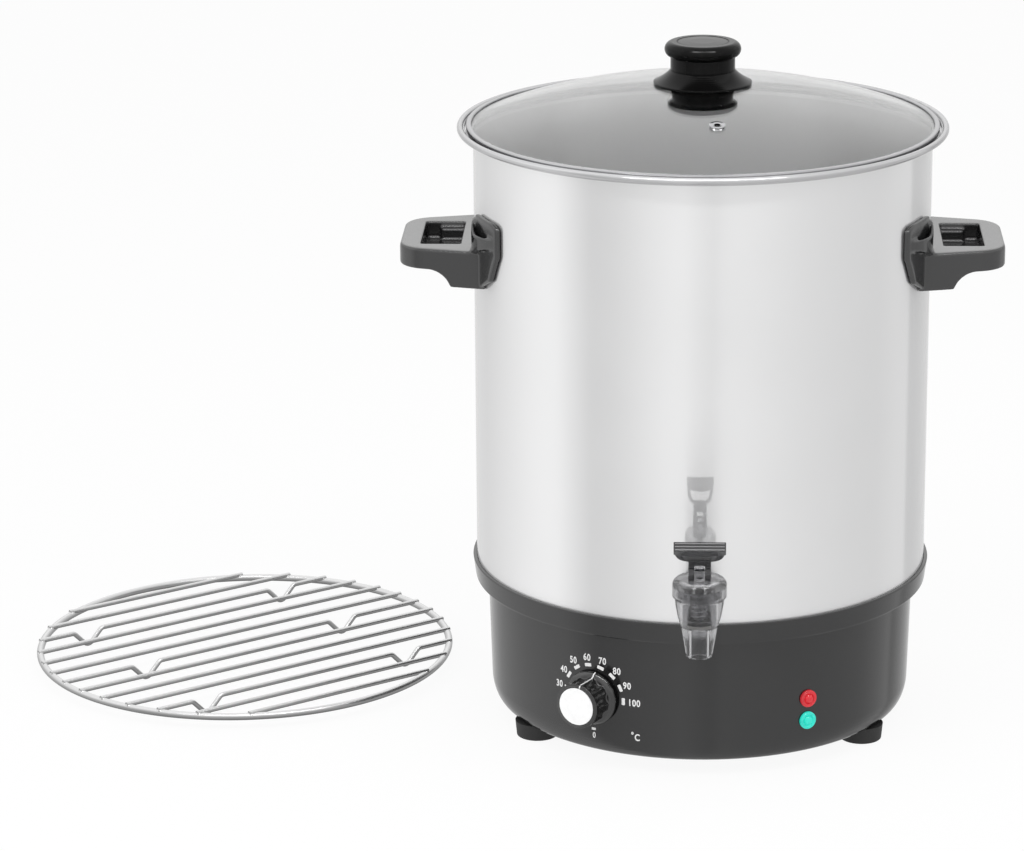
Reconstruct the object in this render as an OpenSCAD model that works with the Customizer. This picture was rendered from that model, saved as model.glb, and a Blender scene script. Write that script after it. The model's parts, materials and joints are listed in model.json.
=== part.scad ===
// Electric kettle for mulled wine: steel vessel on a heated base, with glass lid, tap and wire rack.
// The origin is on the vessel's axis, on the table. +Z is up and the tap faces -Y.

/* [Vessel] */
// Outside diameter of the steel wall
vessel_d = 360; // [340:2:380]
// Thickness of the steel sheet
sheet_t = 0.8; // [0.6:0.1:1.2]
// Height of the rim bead's centre above the table
rim_z = 483; // [450:1:520]
// Radius of the rolled bead on the rim
bead_r = 2.5; // [2:0.1:3]
// How far the rim steps out from the wall to seat the lid
seat_w = 8; // [7:0.5:10]
// Rise of the flange that seats the lid
seat_h = 2; // [1:0.5:4]
// Height from the top of that flange to the bead's centre
lip_h = 4; // [3.5:0.5:6]
// Radius of the corner between wall and floor
vessel_corner_r = 8; // [5:0.5:10]
// Depth that the vessel sits inside the base collar
vessel_sink = 10.5; // [8:0.5:13]

/* [Base] */
// Height of the seam between the base collar and the steel
seam_z = 132.5; // [125:0.5:145]
// Wall thickness of the moulded base
base_t = 3; // [2:0.5:4]
// Step in from the steel wall to the top of the base wall
base_step = 9.2; // [7:0.2:13]
// Draft of the base wall over its height
base_draft = 2.4; // [0.4:0.2:4]
// Height of the collar band
collar_h = 17; // [15:0.5:22]
// How far the collar stands out from the steel
collar_lip = 3; // [2:0.2:5]
// Draft of the collar band
collar_draft = 2; // [0.5:0.1:2.5]
// Width of the rounded lower edge
edge_w = 9; // [6:1:12]
// Height of the rounded lower edge
edge_h = 20; // [12:1:24]
// Width of the flat ring under the base
ring_w = 31; // [27:1:40]
// Width of the ledge that carries the vessel
ledge_w = 18; // [14:1:24]
// Thickness of that ledge
ledge_t = 4; // [3:0.5:5]
// Gap around the vessel in the collar
collar_gap = 0.3; // [0.1:0.1:0.6]

/* [Feet] */
// Height of the feet
foot_h = 13; // [11:0.5:18]
// Radius of a foot at its top
foot_r = 17.7; // [14:0.1:19]
// Radius lost from a foot's top to its bottom
foot_taper = 1.1; // [0.2:0.1:2]
// Distance of a foot's centre from the start of the rounded lower edge
foot_inset = 10.4; // [8:0.2:14]
// Radius of the recess for a foot's screw head
foot_bore_r = 5; // [4.6:0.1:6]
// Thickness of the rubber that a foot's screw head clamps
foot_web = 5; // [4:0.5:7]

/* [Handles] */
// Height of a handle's flat top
handle_z = 395.5; // [350:0.5:420]
// Reach of a handle from the wall
handle_reach = 57; // [50:1:66]
// Half width of a handle at the wall
handle_root_w = 64; // [60:1:70]
// Angle that each side of a handle tapers by
handle_taper = 14.4; // [8:0.2:18]
// Radius of the outer corners
handle_corner_r = 25; // [16:1:28]
// Thickness of the grip
grip_t = 17; // [14:0.5:20]
// Depth of the root at the wall
root_h = 30; // [28:0.5:38]
// Radius of the cove under the grip
cove_r = 19; // [14:1:20]
// Distance from the wall to where the cove starts
cove_x = 34; // [33:1:42]
// Thickness of a handle's moulded walls
handle_t = 4.2; // [3:0.1:5]
// Distance from the wall to the recess in the grip
recess_x = 9; // [8:0.5:11]
// Width of that recess
recess_w = 31; // [26:0.5:33]
// Half length of that recess
recess_half_l = 35.7; // [33:0.1:38]
// Depth of that recess
recess_h = 14; // [10:0.5:14.5]
// Thickness of the pad that hugs the wall
pad_t = 4; // [3:0.5:5]
// Half width of that pad
pad_half_w = 93; // [88:1:98]
// Height of the horns above the flat top
horn_h = 29; // [24:0.5:32]
// Thickness of a horn where it is thickest
horn_t = 10; // [8:0.5:11]
// Distance from a handle's middle to the start of a horn
horn_start = 42; // [40:1:45]
// Radius of the rounded top edge
handle_edge_r = 2.6; // [1.5:0.1:3.5]

/* [Lid] */
// Rise of the glass dome
dome_rise = 33.5; // [28:0.5:40]
// Thickness of the glass
glass_t = 4; // [3:0.5:5]
// Radial play between the lid's rim and the vessel's lip
lid_play = 1.9; // [1:0.1:2.4]
// Radial width of the rolled steel rim
lid_rim_w = 4; // [3.6:0.1:5]
// Height of the rim's top above the bead's centre
lid_rim_h = 3.4; // [3:0.1:5]
// Radius of the knob's skirt
skirt_r = 38.5; // [34:0.5:44]
// Radius of the knob's neck
neck_r = 25.3; // [22:0.1:27]
// Radius of the knob's cap
cap_r = 30; // [28:0.5:34]
// Height of the knob above the glass
knob_h = 32.2; // [31:0.1:38]
// Height of the knob's flared skirt
flare_h = 9.8; // [8:0.2:12]
// Radius of the washer under the glass
washer_r = 28; // [24:0.5:32]
// Height of that washer
washer_h = 16; // [13:0.5:20]
// Radius of the knob's screw
knob_screw_r = 2.9; // [2:0.1:3.5]
// Distance of the vent from the lid's centre
vent_dist = 107.5; // [90:0.5:130]
// Bearing of the vent from the front
vent_bearing = 6; // [-20:1:20]
// Radius of the vent's hole
vent_r = 2.4; // [1.6:0.1:3]

/* [Tap] */
// Height of the shank's axis
shank_z = 160; // [154:0.5:175]
// Radius of the threaded shank
shank_r = 10; // [9:0.1:11]
// Radius of the waterway
water_r = 6; // [5:0.1:6.6]
// Distance from the wall to the outlet's axis
tap_reach = 56; // [50:1:70]
// Height of the spout's mouth
spout_z = 127; // [120:1:130]
// Radius of the spout at its mouth
spout_r = 10; // [9.4:0.1:11.5]
// Radius of the valve chamber
chamber_r = 12.5; // [11.5:0.1:13]
// Radius of the body under the bonnet
body_r = 19; // [18.6:0.1:20]
// Radius of the bonnet
bonnet_r = 20.5; // [20.2:0.1:22]
// Height of the bonnet
bonnet_h = 15; // [14:0.5:18]
// Height of the bonnet's top
bonnet_top = 189; // [186:0.5:196]
// Radius of the plunger's stem
stem_r = 3.7; // [3.2:0.1:4]
// Height of the lever's pin above the bonnet
pin_h = 7; // [6.5:0.1:8]
// Radius of the lever's pin
pin_r = 1.5; // [1.2:0.1:1.8]
// Overall width of the lever's legs
lever_w = 17; // [15:0.5:20]
// Distance from the pin to the centre of the thumb bar
lever_l = 33.5; // [32:0.5:40]
// Lean of the closed lever from upright
lever_lean = 45; // [38:1:46]
// Length of the thumb bar
thumb_l = 39; // [34:0.5:46]
// Lift of the plunger when the lever is pulled
valve_lift = 4.5; // [3:0.1:5]
// Swing of the lever
lever_swing = 40; // [30:1:44]
// Radial running clearance of the stem and the pin
run_gap = 0.05; // [0.02:0.01:0.08]
// Turns of the return spring
spring_turns = 6; // [4:1:8]
// Radius of the spring's wire
spring_wire_r = 0.6; // [0.4:0.05:0.7]

/* [Controls] */
// Bearing of the dial to the left of the front
dial_bearing = 29.2; // [25:0.1:35]
// Height of the dial and of the upper lamp
dial_z = 60; // [54:0.5:70]
// Radius of the dial's skirt
dial_skirt_r = 22; // [20:0.5:24]
// Radius of the dial's grip
dial_grip_r = 18; // [16:0.5:19]
// How far the dial stands out from the base
dial_h = 25.5; // [23:0.5:32]
// Number of scallops round the grip
scallops = 8; // [6:1:10]
// Angle of the dial's pointer to the right of upright
pointer_bearing = 10; // [-60:1:60]
// Radius of the bright disc on the dial
disc_r = 15; // [13:0.5:15.5]
// Radius of the dial's shaft
shaft_r = 3; // [2.5:0.1:3.5]
// Bearing of the lamps to the right of the front
lamp_bearing = 30; // [24:0.5:36]
// Radius of a lamp's lens
lamp_r = 7; // [6:0.1:8]
// Distance between the two lamps
lamp_pitch = 18.2; // [17:0.1:22]
// Radius of a lamp's barrel
lamp_barrel_r = 5.4; // [4:0.1:5.6]

/* [Heater] */
// Radius of the heater plate
heater_r = 118; // [100:1:130]
// Thickness of the heater plate
heater_t = 4; // [3:0.5:5]
// Radius of the element's ring
element_ring_r = 92; // [75:1:98]
// Radius of the element's tube
element_r = 4; // [3:0.1:4.5]
// Depth of the shield below the heater plate
shield_depth = 18; // [15:1:20]
// Radius of the shield's pan
shield_r = 140; // [134:1:146]
// Radius of the tie stud
stud_r = 4; // [3:0.1:5]
// Thickness of the plate that closes the base
plate_t = 2; // [1.5:0.1:3]
// Number of vent slots in that plate
vent_slots = 24; // [12:1:30]

/* [Rack] */
// Radial clearance of the rack inside the vessel
rack_gap = 4.2; // [3:0.1:8]
// Radius of the ring's wire
ring_wire_r = 3; // [2.4:0.1:3.5]
// Radius of the bars' wire
bar_wire_r = 2; // [1.6:0.1:2.4]
// Number of bars
bars = 13; // [13:4:17]
// Spacing of the bars
bar_pitch = 25; // [22:0.1:26]
// Depth of the bent feet
bend_depth = 12.2; // [11:0.1:16]
// Half width of a bent foot
bend_half_w = 15.5; // [14:0.1:18]
// Distance of a bent foot from the middle of its bar
bend_dist = 96; // [70:1:105]
// Distance between the standing rack and the vessel
rack_apart = 41; // [30:1:80]
// Bearing of the rack's centre
rack_bearing = 165.2; // [150:0.2:190]
// Direction of the bars
bar_bearing = 37; // [0:1:90]

/* [Hidden] */
$fn = 96;
wall_fn = 720;
fine = 0.3;
touch = 0.1;
far = 600;

vessel_r = vessel_d / 2;
bore_r = vessel_r - sheet_t;
floor_z = seam_z - vessel_sink;
seat_top_z = rim_z - lip_h;
seat_low_z = seat_top_z - seat_h;
seat_slope = atan(seat_h / seat_w);
seat_lift = sheet_t * (1 / cos(seat_slope) - tan(seat_slope));
lip_r = vessel_r + seat_w;
bead_x = lip_r + bead_r;

edge_z = foot_h + edge_h;
collar_z = seam_z - collar_h;
base_top_r = vessel_r - base_step;
base_low_r = base_top_r - base_draft;
ring_out_r = base_low_r - edge_w;
ring_in_r = ring_out_r - ring_w;
collar_r = vessel_r + collar_lip;
collar_bore_r = vessel_r + collar_gap;
ledge_r = base_top_r - base_t - ledge_w;
ring_top_z = foot_h + base_t;
foot_circle_r = ring_out_r - foot_inset;
foot_bearings = [-150, -30, 90];

foot_screw_r = 2.2;
foot_head_r = 4.2;
foot_head_h = 3;
foot_screw_l = 6;
cover_r = ring_in_r + 8;
cover_screw_circle_r = (ring_in_r + cover_r) / 2;
cover_screw_r = 1.9;
cover_head_r = 2.9;
cover_head_h = 2;
cover_screw_l = 2;
cover_screws = 6;

handle_root_z = handle_z - root_h;
handle_end = vessel_r + handle_reach;
pad_bore_r = vessel_r + touch;
pad_r = vessel_r + pad_t;
horn_z = handle_z + horn_h;
horn_low = asin(horn_start / pad_r);
horn_end = asin(pad_half_w / pad_r);
horn_steps = 10;
horn_wall = 2.4;
horn_dip = 13;
horn_dip_l = 26;
horn_rise = 11;
horn_tip = 8;
pad_corner = 11;
boss_step = 5.7;
boss_w = 19;
boss_drop = 5;
handle_screw_r = 2.4;
handle_screw_l = 6;
handle_screw_bearing = 9;
handle_screw_z = handle_z - 14;
handle_head_r = 5;
handle_head_h = 2.5;

lid_r = lip_r - sheet_t - lid_play;
lid_rim_z = rim_z + lid_rim_h;
lid_rim_t = 1.2;
glass_r = lid_r - lid_rim_t - touch;
glass_edge_z = lid_rim_z - 2.3;
glass_cut = 40;
dome_r = (pow(glass_r, 2) + pow(dome_rise, 2)) / (2 * dome_rise);
dome_z = glass_edge_z + dome_rise - dome_r;
apex_z = glass_edge_z + dome_rise;
rim_foot_z = seat_low_z + seat_lift + seat_h * (lid_r - bore_r) / seat_w + fine;
knob_z = apex_z + touch / 2;
knob_top_z = apex_z + knob_h;
washer_z = apex_z - glass_t - washer_h;
knob_screw_top_z = knob_top_z - 13;
knob_boss_r = 14;
knob_hollow = 1.6;
knob_groove = 0.7;
skirt_edge = 1.6;
cap_round_r = 6;
cap_disc_r = 20.1;
knob_head_r = 5.5;
knob_head_h = 3.4;
vent_barrel_r = vent_r + 2.2;
vent_flange_r = vent_r + 3.9;
vent_tilt = asin(vent_dist / dome_r);

tap_y = -(vessel_r + tap_reach);
washer_t = 4;
tap_flange_r = shank_r + 7;
tap_flange_y = -(vessel_r + washer_t);
tap_flange_t = 4;
nut_r = shank_r + 9;
nut_t = 9;
nut_y = -(bore_r - washer_t);
shank_end_y = nut_y + nut_t + 4;
shank_hole_r = shank_r + 0.3;
valve_seat_z = shank_z - water_r - 3;
body_top_z = bonnet_top - 7;
bonnet_low_z = bonnet_top - bonnet_h;
neck_out_r = body_r - 2;
neck_low_z = bonnet_low_z - fine;
pin_z = bonnet_top + pin_h;
stem_top_z = pin_z + pin_r + 2.6;
disc_low_z = valve_seat_z + fine + 2.8;
disc_t = 4;
plunger_r = chamber_r - 3.5;
spring_r = stem_r + spring_wire_r + 1.4;
spring_low_z = disc_low_z + disc_t + touch;
spring_top_z = body_top_z - touch;
spring_rings = 8;
tube_sides = 6;
leg_gap = stem_r + fine;
web_l = 17;
web_h = 7;
web_t = 5;
arm_w = 4.6;
arm_bow = 16;
bar_t = 8;
bar_top = 4;
bar_low = 2.2;
bar_belly = 3;
heel_r = pin_h - fine;
heel_x = valve_lift / sin(lever_swing);

dial_base_gap = 1.6;
dial_bush_r = shaft_r + 2;
dial_nut_r = 8;
dial_nut_t = 3;
body_w = 30;
body_d = 22;
bulb_r = 3.2;
bulb_l = 50;
lamp_flange_t = 1.6;
lamp_barrel_l = 24;
gland_z = dial_z - 16;
gland_r = 7;
gland_flange_r = 10.5;
gland_bore_r = 3.8;

heater_z = floor_z - heater_t;
element_z = heater_z - element_r;
shield_t = 0.8;
shield_z = heater_z - shield_depth;
shield_lip_z = floor_z - ledge_t;
element_gap = 24;
pin_l = shield_depth;
stud_low_z = ring_top_z - 8;
stud_nut_r = stud_r + 3.5;
stud_nut_t = 6;

rack_r = bore_r - rack_gap;
ring_mid_r = rack_r - ring_wire_r;
bar_z = bend_depth + bar_wire_r;
ring_z = bar_z - bar_wire_r - ring_wire_r - touch / 2;
rack_dist = vessel_r + rack_apart + rack_r;
rack_x = rack_dist * cos(rack_bearing);
rack_y = rack_dist * sin(rack_bearing);
bend_r = 5;
bend_every = 4;
bend_first = 2;

black_plastic = [0.10, 0.10, 0.10];
black_rubber = [0.06, 0.06, 0.06];
steel = [0.82, 0.82, 0.83];
bright_wire = [0.72, 0.72, 0.73];
zinc = [0.66, 0.67, 0.69];
clear_glass = [0.80, 0.84, 0.84, 0.35];
smoke = [0.26, 0.26, 0.28, 0.80];
silicone = [0.85, 0.83, 0.80];
white_disc = [0.95, 0.95, 0.95];
phenolic = [0.22, 0.18, 0.15];

// Radius of the base wall's outside at height z
function base_r(z) = base_low_r + base_draft * (z - edge_z) / (collar_z - edge_z);

// Height of the dome's outside at distance r from the axis
function dome_at(r) = dome_z + sqrt(pow(dome_r, 2) - pow(r, 2));

// Height of the dome's underside at distance r from the axis
function dome_under(r) = dome_z + sqrt(pow(dome_r - glass_t, 2) - pow(r, 2));

// Points on an elliptic arc
function arc(cx, cy, rx, ry, from, to, steps) =
    [for (i = [0:steps]) let (a = from + (to - from) * i / steps) [cx + rx * cos(a), cy + ry * sin(a)]];

// Points on a curve from p to r that bends towards q
function curve(p, q, r, steps) =
    [for (i = [0:steps]) let (t = i / steps) p * pow(1 - t, 2) + q * 2 * t * (1 - t) + r * pow(t, 2)];

function unit(v) = v / norm(v);

// Ring of points round one point of a path
function tube_ring(p, t, side, r, n) =
    let (u = unit(cross(side, t)), v = cross(t, u))
    [for (k = [0:n - 1]) p + r * (cos(360 * k / n) * u + sin(360 * k / n) * v)];

// Direction of a path at point i
function heading(path, i) = unit(path[min(i + 1, len(path) - 1)] - path[max(i - 1, 0)]);

// Closed tube along a path that never runs along side
module tube(path, r, n, side) {
    last = len(path) - 1;
    rings = [for (i = [0:last]) each tube_ring(path[i], heading(path, i), side, r, n)];
    low = [for (k = [1:n - 2]) [0, k, k + 1]];
    high = [for (k = [1:n - 2]) [last * n, last * n + k + 1, last * n + k]];
    sides = [for (i = [0:last - 1], k = [0:n - 1])
        let (a = i * n + k, b = i * n + (k + 1) % n)
        each [[a, b + n, b], [a, a + n, b + n]]];
    polyhedron(points = rings, faces = concat(low, high, sides));
}

// Frame on the base wall: z outward, y up, origin on the wall's outside
module on_base(bearing, z) {
    rotate([0, 0, bearing])
        translate([0, -base_r(z), z])
            rotate([90, 0, 0])
                children();
}

// Frame on the front of the vessel: z outward along the shank, origin on the axis
module on_shank() {
    translate([0, 0, shank_z])
        rotate([90, 0, 0])
            children();
}

module hexagon(r, h) {
    cylinder(r = r, h = h, $fn = 6);
}

// Frame of a handle's screw: z inward to the vessel's axis, origin on the wall's inside
module at_handle_screws() {
    for (b = [-handle_screw_bearing, handle_screw_bearing])
        rotate([0, 0, b])
            translate([bore_r, 0, handle_screw_z])
                rotate([0, -90, 0])
                    children();
}

module both_sides() {
    children();
    mirror([1, 0, 0])
        children();
}

// Steel vessel with a stepped rim
module vessel_profile() {
    c = vessel_corner_r;
    outside = concat(
        [[0, floor_z]],
        arc(vessel_r - c, floor_z + c, c, c, -90, 0, 8),
        [[vessel_r, seat_low_z], [lip_r, seat_top_z], [lip_r, rim_z]]);
    inside = concat(
        [[lip_r - sheet_t, rim_z], [lip_r - sheet_t, seat_top_z + seat_lift]],
        [[bore_r, seat_low_z + seat_lift]],
        arc(vessel_r - c, floor_z + c, c - sheet_t, c - sheet_t, 0, -90, 8),
        [[0, floor_z + sheet_t]]);
    polygon(concat(outside, inside));
    translate([bead_x - sheet_t / 2, rim_z])
        circle(r = bead_r, $fn = 32);
}

module vessel() {
    color(steel)
        difference() {
            rotate_extrude()
                vessel_profile();
            on_shank()
                translate([0, 0, bore_r - 10])
                    cylinder(r = shank_hole_r, h = 20);
            both_sides()
                at_handle_screws()
                    translate([0, 0, -5])
                        cylinder(r = handle_screw_r + fine, h = 10);
        }
}

// Moulded base with collar, ledge and rounded lower edge
module base_profile() {
    t = base_t;
    outside = concat(
        [[ring_in_r, foot_h]],
        arc(ring_out_r, edge_z, edge_w, edge_h, -90, 0, 10),
        [[base_top_r, collar_z]],
        arc(collar_r - collar_draft - 1.5, collar_z + 1.5, 1.5, 1.5, -90, 0, 4),
        arc(collar_r - 1, seam_z - 1, 1, 1, 0, 90, 4));
    inside = concat(
        [[collar_bore_r, seam_z], [collar_bore_r, floor_z], [ledge_r, floor_z], [ledge_r, floor_z - ledge_t]],
        [[base_top_r - t, floor_z - ledge_t]],
        arc(ring_out_r, edge_z, edge_w - t, edge_h - t, 0, -90, 10),
        [[ring_in_r, ring_top_z]]);
    polygon(concat(outside, inside));
}

module base_housing() {
    color(black_plastic)
        difference() {
            rotate_extrude()
                base_profile();
            on_base(-dial_bearing, dial_z)
                translate([0, 0, -base_t - 10])
                    cylinder(r = dial_bush_r + touch, h = 30);
            for (i = [0, 1])
                on_base(lamp_bearing, dial_z - i * lamp_pitch)
                    translate([0, 0, -base_t - 10])
                        cylinder(r = lamp_barrel_r + touch, h = 30);
            on_base(180, gland_z)
                translate([0, 0, -base_t - 10])
                    cylinder(r = gland_r + touch, h = 30);
            for (b = foot_bearings)
                rotate([0, 0, b])
                    translate([foot_circle_r, 0, foot_h - 1])
                        cylinder(r = foot_screw_r + touch, h = base_t + 2);
            at_cover_screws()
                translate([0, 0, foot_h - 1])
                    cylinder(r = cover_screw_r + touch, h = base_t + 2);
        }
}

module at_cover_screws() {
    for (i = [0:cover_screws - 1])
        rotate([0, 0, 360 * i / cover_screws])
            translate([cover_screw_circle_r, 0, 0])
                children();
}

// Sheet that closes the base, with a ring of vent slots
module base_plate() {
    slot_w = 4;
    slot_in = 62;
    slot_out = 104;
    color(zinc)
        difference() {
            translate([0, 0, ring_top_z])
                cylinder(r = cover_r, h = plate_t);
            translate([0, 0, ring_top_z - 1])
                cylinder(r = stud_r + touch, h = plate_t + 2);
            for (i = [0:vent_slots - 1])
                rotate([0, 0, 360 * i / vent_slots])
                    translate([slot_in, -slot_w / 2, ring_top_z - 1])
                        cube([slot_out - slot_in, slot_w, plate_t + 2]);
            at_cover_screws()
                translate([0, 0, ring_top_z - 1])
                    cylinder(r = cover_screw_r + touch, h = plate_t + 2);
        }
}

module cover_screw_group() {
    color(zinc)
        at_cover_screws() {
            translate([0, 0, foot_h - cover_head_h])
                cylinder(r = cover_head_r, h = cover_head_h);
            translate([0, 0, foot_h - 1])
                cylinder(r = cover_screw_r, h = base_t + plate_t + cover_screw_l + 1);
        }
}

// Rubber foot with a recess for its screw
module foot(bearing) {
    low_r = foot_r - foot_taper;
    edge = 1.5;
    color(black_rubber)
        rotate([0, 0, bearing])
            translate([foot_circle_r, 0, 0])
                rotate_extrude()
                    polygon(concat(
                        [[foot_bore_r, 0]],
                        arc(low_r - edge, edge, edge, edge, -90, 0, 5),
                        [[foot_r, foot_h], [foot_screw_r + touch, foot_h]],
                        [[foot_screw_r + touch, foot_h - foot_web], [foot_bore_r, foot_h - foot_web]]));
}

module foot_screw_group() {
    color(zinc)
        for (b = foot_bearings)
            rotate([0, 0, b])
                translate([foot_circle_r, 0, foot_h - foot_web]) {
                    translate([0, 0, -foot_head_h])
                        cylinder(r = foot_head_r, h = foot_head_h);
                    translate([0, 0, -1])
                        cylinder(r = foot_screw_r, h = foot_web + base_t + foot_screw_l + 1);
                }
}

// Outline of a handle seen from above, drawn in by inset on every side
module handle_outline(inset) {
    r = handle_corner_r - inset;
    n = [sin(handle_taper), cos(handle_taper)];
    end = handle_end - inset;
    cx = handle_end - handle_corner_r;
    reach = n * [vessel_r - 9, handle_root_w] - inset;
    cy = (reach - r - n[0] * cx) / n[1];
    root_x = vessel_r - 40;
    root_y = (reach - n[0] * root_x) / n[1];
    side = [cx, cy] + r * n;
    polygon([[root_x, root_y], side, [end, cy], [end, -cy], [side[0], -side[1]], [root_x, -root_y]]);
    for (s = [-1, 1])
        translate([cx, s * cy])
            circle(r = r, $fn = 48);
}

// Handle body with a rounded top edge
module handle_block() {
    e = handle_edge_r;
    low = handle_root_z - 1;
    hull()
        for (a = [0, 30, 60, 90])
            translate([0, 0, low])
                linear_extrude(handle_z - e + e * sin(a) - low)
                    handle_outline(e * (1 - cos(a)));
}

// Space under the grip and its cove, seen from the side
module under_grip() {
    grip_low = handle_z - grip_t;
    x = vessel_r + cove_x;
    translate([0, far / 2, 0])
        rotate([90, 0, 0])
            linear_extrude(far) {
                translate([x, grip_low - cove_r])
                    circle(r = cove_r, $fn = 64);
                translate([x, grip_low - 50])
                    square([far, 50]);
                translate([0, handle_root_z - 50])
                    square([far, 50]);
            }
}

// Wall pad seen from the side: cut off below, rounded above at the horns, low in the middle
module pad_outline() {
    w = pad_half_w;
    low = handle_root_z;
    c = pad_corner;
    half = concat(
        [[0, low], [w - 3 * c, low], [w - c, low + c], [w, low + 3 * c]],
        arc(w - c, horn_z - c / 2, c, c / 2, 0, 90, 6),
        arc(horn_start + c + pad_t, horn_z - 2 * c, c, 2 * c, 90, 180, 6),
        [[horn_start, handle_z - 1], [0, handle_z - 1]]);
    polygon(concat(half, [for (i = [len(half) - 1:-1:0]) [-half[i][0], half[i][1]]]));
}

module pad_slice() {
    rotate([90, 0, 90])
        linear_extrude(far)
            pad_outline();
}

// Horn seen from above, drawn in by inset
module horn_outline(inset) {
    polygon(concat(
        [for (i = [0:horn_steps])
            let (share = i / horn_steps, b = horn_low + (horn_end - horn_low) * share)
            (pad_r - 1 + (horn_t - pad_t + 1) * sin(180 * share) - inset) * [cos(b), sin(b)]],
        [[0, 0]]));
}

// Horn seen from the side: its underside rises towards its end, and its top dips
module horn_side() {
    y = horn_start;
    w = pad_half_w;
    low_z = handle_z - handle_edge_r;
    dip_z = horn_z - horn_dip;
    rotate([90, 0, 90])
        linear_extrude(far)
            polygon(concat(
                [[y, low_z], [handle_root_w - handle_t, low_z], [w, handle_z + horn_rise], [w, dip_z]],
                curve([y + horn_dip_l, dip_z], [y + horn_dip_l / 2, horn_z - horn_dip / 3],
                    [y, horn_z - horn_dip * 0.4], 5)));
}

// Hollow between a horn's outer rim and the pad
module horn_hollow() {
    y = horn_start + pad_corner;
    translate([0, 0, handle_z + handle_t])
        linear_extrude(far)
            intersection() {
                difference() {
                    horn_outline(horn_wall);
                    circle(r = pad_r);
                }
                translate([0, y])
                    square([far, pad_half_w - y - horn_tip]);
            }
}

// Everything on one side of a handle, and its mirror image
module front_and_back() {
    children();
    mirror([0, 1, 0])
        children();
}

module handle_solid() {
    difference() {
        union() {
            difference() {
                handle_block();
                under_grip();
            }
            intersection() {
                pad_slice();
                translate([0, 0, handle_root_z])
                    cylinder(r = pad_r, h = horn_h + root_h);
            }
            front_and_back()
                intersection() {
                    horn_side();
                    linear_extrude(far)
                        horn_outline(0);
                }
        }
        cylinder(r = pad_bore_r, h = far);
        grip_recess();
        front_and_back()
            horn_hollow();
        at_handle_screws()
            translate([0, 0, -handle_screw_l - sheet_t - 1])
                cylinder(r = handle_screw_r + touch / 2, h = handle_screw_l + 4);
    }
}

// Recess in the grip's top, with a step over each screw
module grip_recess() {
    low = handle_z - recess_h;
    x = vessel_r + recess_x;
    translate([x, -recess_half_l, handle_z - boss_drop])
        cube([recess_w, 2 * recess_half_l, far]);
    translate([x + boss_w, -recess_half_l, low])
        cube([recess_w - boss_w, 2 * recess_half_l, far]);
    translate([x, boss_step - recess_half_l, low])
        cube([recess_w, 2 * (recess_half_l - boss_step), far]);
}

module handle_right() {
    color(black_plastic)
        handle_solid();
}

module handle_left() {
    color(black_plastic)
        mirror([1, 0, 0])
            handle_solid();
}

module handle_screw_group() {
    color(zinc)
        both_sides()
            at_handle_screws() {
                translate([0, 0, touch])
                    difference() {
                        cylinder(r = handle_head_r, h = handle_head_h);
                        translate([-handle_head_r, -0.6, handle_head_h - 1])
                            cube([2 * handle_head_r, 1.2, 2]);
                    }
                translate([0, 0, -handle_screw_l - sheet_t])
                    cylinder(r = handle_screw_r, h = handle_screw_l + sheet_t + 1);
            }
}

// Frame of the lid's vent: z along the glass's normal, origin on the dome's outside
module at_vent() {
    rotate([0, 0, vent_bearing])
        translate([0, 0, dome_z])
            rotate([vent_tilt, 0, 0])
                translate([0, 0, dome_r])
                    children();
}

module lid_glass() {
    color(clear_glass)
        difference() {
            intersection() {
                translate([0, 0, dome_z])
                    sphere(r = dome_r);
                translate([0, 0, glass_edge_z - glass_t - 6])
                    cylinder(r = glass_r, h = far);
            }
            translate([0, 0, dome_z])
                sphere(r = dome_r - glass_t);
            translate([0, 0, apex_z - glass_cut / 2])
                cylinder(r = knob_screw_r + fine, h = glass_cut);
            at_vent()
                translate([0, 0, -glass_cut / 2])
                    cylinder(r = vent_barrel_r + touch, h = glass_cut);
        }
}

// Rolled steel rim that clasps the edge of the glass
module lid_rim() {
    in_r = lid_r - lid_rim_w;
    roll = lid_rim_t;
    bevel = 0.6;
    low_z = dome_under(glass_r) - touch;
    color(steel)
        rotate_extrude()
            polygon(concat(
                [[lid_r, rim_foot_z + bevel]],
                arc(lid_r - roll, lid_rim_z - roll, roll, roll, 0, 90, 5),
                [[in_r + bevel, lid_rim_z], [in_r, lid_rim_z - bevel], [in_r, dome_at(in_r) + touch]],
                [[glass_r + touch, glass_edge_z + touch], [glass_r + touch, low_z]],
                [[in_r, dome_under(in_r) - touch], [in_r, rim_foot_z + bevel], [in_r + bevel, rim_foot_z]],
                [[lid_r - bevel, rim_foot_z]]));
}

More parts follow.
